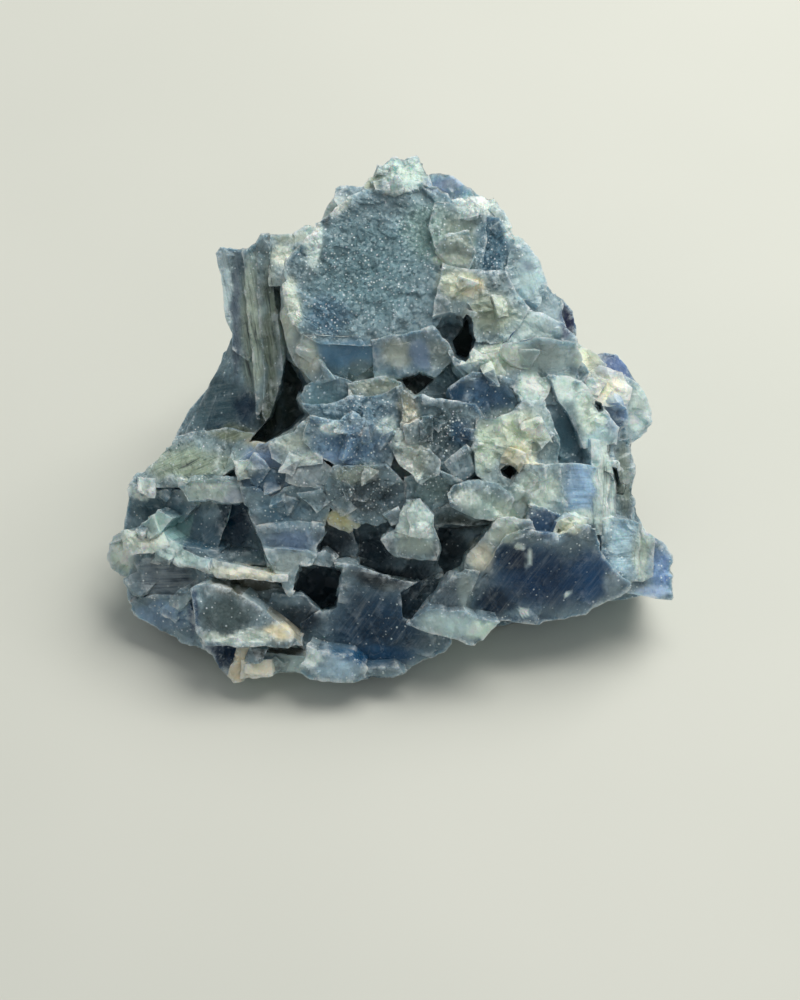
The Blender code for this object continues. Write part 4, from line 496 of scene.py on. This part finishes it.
chipped = np.clip(broken_relief(spots, CHIP_SIZE, 70) - CHIP_RARITY, 0.0, 1.0)
raised -= spread(ridge, 1) * (0.04 + CHIP_DEPTH * chipped) * (0.25 + 0.5 * crumble)
raised = spread(raised, 1) * ROUNDED_OFF + raised * (1.0 - ROUNDED_OFF)

places = places + normals * raised[:, None] * MM
places = np.clip(places, np.array(cad_box[0]), np.array(cad_box[1]))
for vert, place in zip(stone.verts, places):
    vert.co = place
stone.normal_update()
normals = np.array([tuple(v.normal) for v in stone.verts])

# What stands out a little is worn white and broad swellings are milky. Broad hollows and narrow
# seams are darkened with painted shade. The wholes are in mm.
fine = swelling(3) / (1.0 + 2.0 * sugar)
broad = swelling(40)
wear = part_of(part_of(fine, 0.12) * 0.55 + spread(ridge, 1) * 0.75, 1.0)
milk = part_of(broad, 1.1)
hollow_shade = part_of(-broad, 1.5)
seam_shade = part_of(part_of(-fine, 0.15) * 0.5 + spread(crease, 1) * 0.7, 1.0)

# Each facet has a tone of its own. On the hidden sides it comes from the tones above, by chance and
# by a slow drift over the stone.
TONE_DRIFT = 14.0
facet_cells = np.stack([np.arange(len(facet_areas))] * 3, axis=1)
chance = scatter(facet_cells, 80)
drift = cloud(facet_middles / MM, TONE_DRIFT, 81)
pick = np.clip(0.55 * chance + 0.75 * drift - 0.15, 0.0, 0.999) * (len(HIDDEN_TONES) - 1)
tones = daylight(HIDDEN_TONES)
below = np.floor(pick).astype(int)
blend = (pick - below)[:, None]
hidden_tone = tones[below] * (1 - blend) + tones[below + 1] * blend
facet_tone = facet_tone * (0.80 + 0.40 * chance)[:, None]

surface = bpy.data.meshes.new("calcite surface")
stone.to_mesh(surface)
corner_facets = np.repeat(np.array([f[facet_layer] for f in stone.faces]) - 1, 3)
stone.free()
corner_points = np.zeros(len(surface.loops), int)
surface.loops.foreach_get("vertex_index", corner_points)

# A small facet is mostly of one tone. A large one, towards this area in mm2, is mottled by what has
# grown there.
LARGE_FACET = 25.0
oneness = np.clip(1.0 - facet_areas / LARGE_FACET, 0.15, 0.65)[corner_facets, None]
corner_tone = tone[corner_points] * (1 - oneness) + facet_tone[corner_facets] * oneness
side = facet_shown[corner_facets, None]
corner_tone = corner_tone * side + hidden_tone[corner_facets] * (1 - side)

# Gloss lays pale light over every colour, so the stone's own colours are richer than they look:
# how much brighter they are, how much stronger the dark ones are, how bright a colour is when half
# of it is left, and the palest and darkest that calcite gets.
TONE_GAIN = np.array([1.77, 1.87, 1.70])
TONE_STRENGTH = 0.55
TONE_DEPTH = 0.060
TONE_PALEST = 0.70
TONE_DARKEST = 0.002
BRIGHTNESS = np.array([0.21, 0.72, 0.07])
brightness = (corner_tone @ BRIGHTNESS)[:, None]
strength = 1.0 + TONE_STRENGTH * np.exp(-brightness / TONE_DEPTH)
corner_tone = brightness + (corner_tone - brightness) * strength
corner_tone = corner_tone * TONE_GAIN * brightness / (brightness + TONE_DEPTH)
corner_tone *= np.minimum(1.0, TONE_PALEST / corner_tone.max(axis=1, keepdims=True))
corner_tone = np.maximum(corner_tone, TONE_DARKEST)

rgba = np.concatenate([corner_tone, np.ones((len(corner_tone), 1))], axis=1)
tone_layer = surface.color_attributes.new("tone", "FLOAT_COLOR", "CORNER")
tone_layer.data.foreach_set("color", rgba.ravel())
for name, values in (("wear", wear), ("milk", milk), ("hollow_shade", hollow_shade), ("seam_shade", seam_shade),
                     ("sugar", sugar), ("stripe", stripe), ("crumble", crumble)):
    layer = surface.attributes.new(name, "FLOAT", "POINT")
    layer.data.foreach_set("value", values.astype(np.float32))
run_layer = surface.attributes.new("grain_run", "FLOAT_VECTOR", "POINT")
run_layer.data.foreach_set("vector", grain_run.astype(np.float32).ravel())
for name in ("facet", "custom_normal"):
    surface.attributes.remove(surface.attributes[name])

calcite = bpy.data.objects.new("blue_calcite", surface)
bpy.context.scene.collection.objects.link(calcite)

look = bpy.data.materials.new("blue calcite")
look.use_nodes = True
nodes = look.node_tree.nodes
links = look.node_tree.links
shader = nodes["Principled BSDF"]


def node(kind, **settings):
    """A new node of the calcite's material: its settings, and its inputs by name or number."""
    made = nodes.new(kind)
    for key, value in settings.pop("props", {}).items():
        setattr(made, key, value)
    for key, value in settings.items():
        socket = made.inputs[int(key[1:]) if key[0] == "_" else key]
        if isinstance(value, bpy.types.NodeSocket):
            links.new(value, socket)
        else:
            socket.default_value = value
    return made


def attribute(name, output="Fac"):
    return node("ShaderNodeAttribute", props={"attribute_name": name}).outputs[output]


def maths(operation, a, b=0.0, clamp=False):
    props = {"operation": operation, "use_clamp": clamp}
    return node("ShaderNodeMath", props=props, _0=a, _1=b).outputs[0]


def plus(a, b):
    return maths("ADD", a, b)


def times(a, b):
    return maths("MULTIPLY", a, b)


def ramp(value, low, high, to_low=0.0, to_high=1.0):
    """The value's stretch from low to high, laid over to_low to to_high."""
    return node("ShaderNodeMapRange", _0=value, _1=low, _2=high, _3=to_low, _4=to_high).outputs[0]


def mixed(share, a, b, how="MIX"):
    made = node("ShaderNodeMix", props={"data_type": "RGBA", "blend_type": how},
                _0=share, _6=a, _7=b)
    return made.outputs[2]


def brighter(colour, factor):
    """The colour times a factor that changes over the surface."""
    grey = node("ShaderNodeCombineColor", _0=factor, _1=factor, _2=factor)
    return mixed(1.0, colour, grey.outputs[0], "MULTIPLY")


def noise(where, scale, detail=4.0, roughness=0.6, distortion=0.0):
    made = node("ShaderNodeTexNoise", Vector=where, Scale=scale, Detail=detail,
                Roughness=roughness, Distortion=distortion)
    return made.outputs["Fac"]


def crystal_cells(scale):
    return node("ShaderNodeTexVoronoi", Vector=where, Scale=scale)


def chance_in(crystals, channel):
    """One of the three chance numbers that each cell has."""
    return node("ShaderNodeSeparateColor", _0=crystals.outputs["Color"]).outputs[channel]


where = node("ShaderNodeTexCoord").outputs["Object"]
tone_in = attribute("tone", "Color")
wear_in = attribute("wear")
milk_in = attribute("milk")
hollow_shade_in = attribute("hollow_shade")
seam_shade_in = attribute("seam_shade")
sugar_in = attribute("sugar")
stripe_in = attribute("stripe")
crumble_in = attribute("crumble")
run_in = attribute("grain_run", "Vector")

# The stone is a mass of small intergrown crystals, each a little paler or darker than the next.
shards = crystal_cells(520.0)
shard_share = plus(times(crumble_in, 0.55), 0.10)
shard_tone = ramp(chance_in(shards, 0), 0.0, 1.0, 0.55, 1.45)
body = mixed(shard_share, tone_in, brighter(tone_in, shard_tone))

# Cloudy depth inside the crystal, and fine striations along its cleavage.
PALE_RIB = (0.50, 0.54, 0.52, 1)
DARK_RIB = (0.012, 0.026, 0.045, 1)
body = brighter(body, ramp(noise(where, 190.0, 5.0), 0.3, 0.7, 0.95, 1.75))
striation = plus(times(noise(run_in, 0.9, 2.0), 0.45), times(noise(run_in, 3.4, 2.0), 0.55))
lined = times(stripe_in, ramp(striation, 0.35, 0.65, -1.0, 1.0))
body = mixed(times(maths("MAXIMUM", lined, 0.0), 0.5), body, PALE_RIB)
body = mixed(times(maths("MAXIMUM", times(lined, -1.0), 0.0), 0.95), body, DARK_RIB)

# Milky veins and healed cracks.
VEIN_WHITE = (0.38, 0.46, 0.50, 1)
vein = maths("ABSOLUTE", maths("SUBTRACT", noise(where, 330.0, 3.0, 0.55, 0.8), 0.5))
vein = ramp(vein, 0.0, 0.022, 1.0, 0.0)
vein = times(vein, ramp(noise(where, 120.0, 2.0), 0.45, 0.65))
body = mixed(times(vein, 0.22), body, VEIN_WHITE)

# White sugar grains: small separate crystals, in clusters, partly white in themselves and partly
# painted glints where they catch the light, and frosty clots.
FROST = (0.66, 0.76, 0.78, 1)
GRAIN_WHITE_AND_GLINT = (0.88, 0.96, 0.97, 1)
sweet = times(sugar_in, ramp(noise(where, 380.0, 3.0, 0.7), 0.36, 0.64, 0.25, 1.45))
clot = times(sweet, ramp(noise(where, 1150.0, 4.0, 0.8), 0.56, 0.66))
body = mixed(times(clot, 0.26), body, FROST)


def flecks(crystals, channel, core, rim, many, fade):
    """White dots in some crystals, partly real white grains and partly painted glints: the chance
    number that picks them, how wide a dot is from its core to its rim, how many there are on pure
    sugar, and how softly picked ones set in."""
    dot = ramp(crystals.outputs["Distance"], core, rim, 1.0, 0.0)
    often = maths("SUBTRACT", 1.0, times(sweet, many))
    return times(dot, ramp(chance_in(crystals, channel), often, plus(often, fade)))


grains = crystal_cells(2900.0)
fine_fleck = flecks(grains, 0, 0.18, 0.42, 0.46, 0.08)
coarse_fleck = flecks(crystal_cells(1500.0), 1, 0.12, 0.30, 0.20, 0.05)
fleck_and_glint = maths("MAXIMUM", fine_fleck, coarse_fleck)
# The flecks are partly real white grains and partly painted glints.
body = mixed(times(fleck_and_glint, 0.92), body, GRAIN_WHITE_AND_GLINT)

# Thin edges are milky and broken ones bruised white; seams and hollows get painted shade, a deep
# dim colour.
MILK_WHITE = (0.50, 0.58, 0.60, 1)
BRUISE_WHITE = (0.80, 0.86, 0.87, 1)
DEEP_SHADE = (0.012, 0.022, 0.030, 1)
milky = times(milk_in, ramp(noise(where, 260.0, 4.0), 0.3, 0.7, 0.2, 1.0))
milky = times(milky, maths("ADD", times(crumble_in, 0.65), -0.03, clamp=True))
body = mixed(milky, body, MILK_WHITE)
bruise = times(wear_in, ramp(noise(where, 600.0, 5.0, 0.7), 0.45, 0.58))
body = mixed(times(bruise, 0.85), body, BRUISE_WHITE)
# Painted shade: broad hollows and narrow seams are mixed towards a deep dim colour.
painted_shade = maths("MAXIMUM", times(hollow_shade_in, 0.24), times(seam_shade_in, 0.16))
body = mixed(painted_shade, body, DEEP_SHADE)
links.new(body, shader.inputs["Base Color"])

# Glassy cleavage faces shine in patches; crumbly stone and sugar grains are duller.
patches = ramp(noise(where, 420.0, 3.0), 0.3, 0.7, -0.06, 0.10)
dullness = plus(plus(times(crumble_in, 0.30), times(fleck_and_glint, 0.10)), 0.22)
links.new(maths("ADD", dullness, patches, clamp=True), shader.inputs["Roughness"])


def tilted_facets(crystals):
    """The height in metres of a surface where every crystal is a flat facet with its own tilt."""
    place = node("ShaderNodeVectorMath", props={"operation": "SUBTRACT"},
                 _0=where, _1=crystals.outputs["Position"])
    lean = node("ShaderNodeVectorMath", props={"operation": "SUBTRACT"},
                _0=crystals.outputs["Color"], _1=(0.5, 0.5, 0.5))
    return node("ShaderNodeVectorMath", props={"operation": "DOT_PRODUCT"},
                _0=place.outputs["Vector"], _1=lean.outputs["Vector"]).outputs["Value"]


# Fine relief: tilted grain facets and shards, the grit of broken places, and striations. The depths
# of the last two are in metres.
GRIT_DEPTH = 0.00012
STRIATION_DEPTH = 0.00030
grain_part = times(tilted_facets(grains), plus(times(sugar_in, 1.5), 0.08))
shard_part = times(tilted_facets(shards), plus(times(crumble_in, 1.1), 0.12))
grit_part = times(times(noise(where, 1500.0, 3.0), GRIT_DEPTH), plus(crumble_in, 0.12))
striation_part = times(times(striation, stripe_in), STRIATION_DEPTH)
height = plus(plus(plus(grain_part, shard_part), grit_part), striation_part)
bump = node("ShaderNodeBump", Height=height, Strength=1.0, Distance=1.0)
links.new(bump.outputs["Normal"], shader.inputs["Normal"])

# Light sinks about a millimetre into the crystal, blue the deepest.
shader.inputs["Metallic"].default_value = 0.0
shader.inputs["IOR"].default_value = 1.58
shader.inputs["Specular IOR Level"].default_value = 0.22
shader.inputs["Subsurface Weight"].default_value = 0.60
shader.inputs["Subsurface Radius"].default_value = (0.7, 1.0, 1.3)
shader.inputs["Subsurface Scale"].default_value = 0.0010
shader.inputs["Coat Weight"].default_value = 0.06
shader.inputs["Coat Roughness"].default_value = 0.12
surface.materials.clear()
surface.materials.append(look)

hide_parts("calcite")
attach(calcite, "root")


# --------------------------------------------------------------------------------------------------
# The floor. A plain painted board, pale and faintly warm, with slow uneven patches in its paint.
# The lump only rests on it.

FLOOR_REACH = 1.5
ground = bmesh.new()
bmesh.ops.create_grid(ground, x_segments=1, y_segments=1, size=FLOOR_REACH)
ground_mesh = bpy.data.meshes.new("floor")
ground.to_mesh(ground_mesh)
ground.free()
floor = bpy.data.objects.new("floor", ground_mesh)
bpy.context.scene.collection.objects.link(floor)

board = bpy.data.materials.new("pale board")
board.use_nodes = True
board_nodes = board.node_tree.nodes
board_links = board.node_tree.links
board_shader = board_nodes["Principled BSDF"]
board_place = board_nodes.new("ShaderNodeTexCoord")
mottle = board_nodes.new("ShaderNodeTexNoise")
mottle.inputs["Scale"].default_value = 9.0
mottle.inputs["Detail"].default_value = 3.0
board_tones = board_nodes.new("ShaderNodeValToRGB")
board_tones.color_ramp.elements[0].position = 0.3
board_tones.color_ramp.elements[0].color = (0.63, 0.64, 0.575, 1)
board_tones.color_ramp.elements[1].position = 0.7
board_tones.color_ramp.elements[1].color = (0.68, 0.685, 0.62, 1)
board_links.new(board_place.outputs["Object"], mottle.inputs["Vector"])
board_links.new(mottle.outputs["Fac"], board_tones.inputs["Fac"])
board_links.new(board_tones.outputs["Color"], board_shader.inputs["Base Color"])
board_shader.inputs["Roughness"].default_value = 0.55
board_shader.inputs["Specular IOR Level"].default_value = 0.3
ground_mesh.materials.append(board)


# --------------------------------------------------------------------------------------------------
# The light. One square soft lamp stands high behind the lump's right shoulder and faces it, and an
# even pale surround fills the shadows.

LAMP_PLACE = Vector((0.19, 0.22, 0.50))
LAMP_AIM = Vector((0.0, 0.0, 0.02))
lamp_light = bpy.data.lights.new("key lamp", "AREA")
lamp_light.size = 0.44
lamp_light.energy = 3.30
lamp_light.color = (1.0, 0.985, 0.94)
lamp = bpy.data.objects.new("key lamp", lamp_light)
lamp.location = LAMP_PLACE
lamp.rotation_euler = (LAMP_AIM - LAMP_PLACE).to_track_quat("-Z", "Y").to_euler()
bpy.context.scene.collection.objects.link(lamp)

surround = bpy.data.worlds.new("surround")
bpy.context.scene.world = surround
surround.use_nodes = True
background = surround.node_tree.nodes["Background"]
background.inputs["Color"].default_value = (0.93, 0.97, 1.0, 1)
background.inputs["Strength"].default_value = 0.35


# --------------------------------------------------------------------------------------------------
# The camera. It looks straight down on the show face from the eye that u and v are read from, and
# takes in 125 mm of the face from top to bottom.

SENSOR = 36.0
VIEW_HEIGHT = 125.0
lens = bpy.data.cameras.new("camera")
lens.sensor_width = SENSOR
lens.lens = SENSOR * EYE_DISTANCE / VIEW_HEIGHT
lens.clip_start = 0.01
camera = bpy.data.objects.new("camera", lens)
camera.location = Vector((MIDDLE + UP * EYE_V + OUT * EYE_DISTANCE) * MM)
camera.rotation_euler = Vector(-OUT).to_track_quat("-Z", "Y").to_euler()
bpy.context.scene.collection.objects.link(camera)
bpy.context.scene.camera = camera
bpy.context.scene.view_settings.view_transform = "Standard"
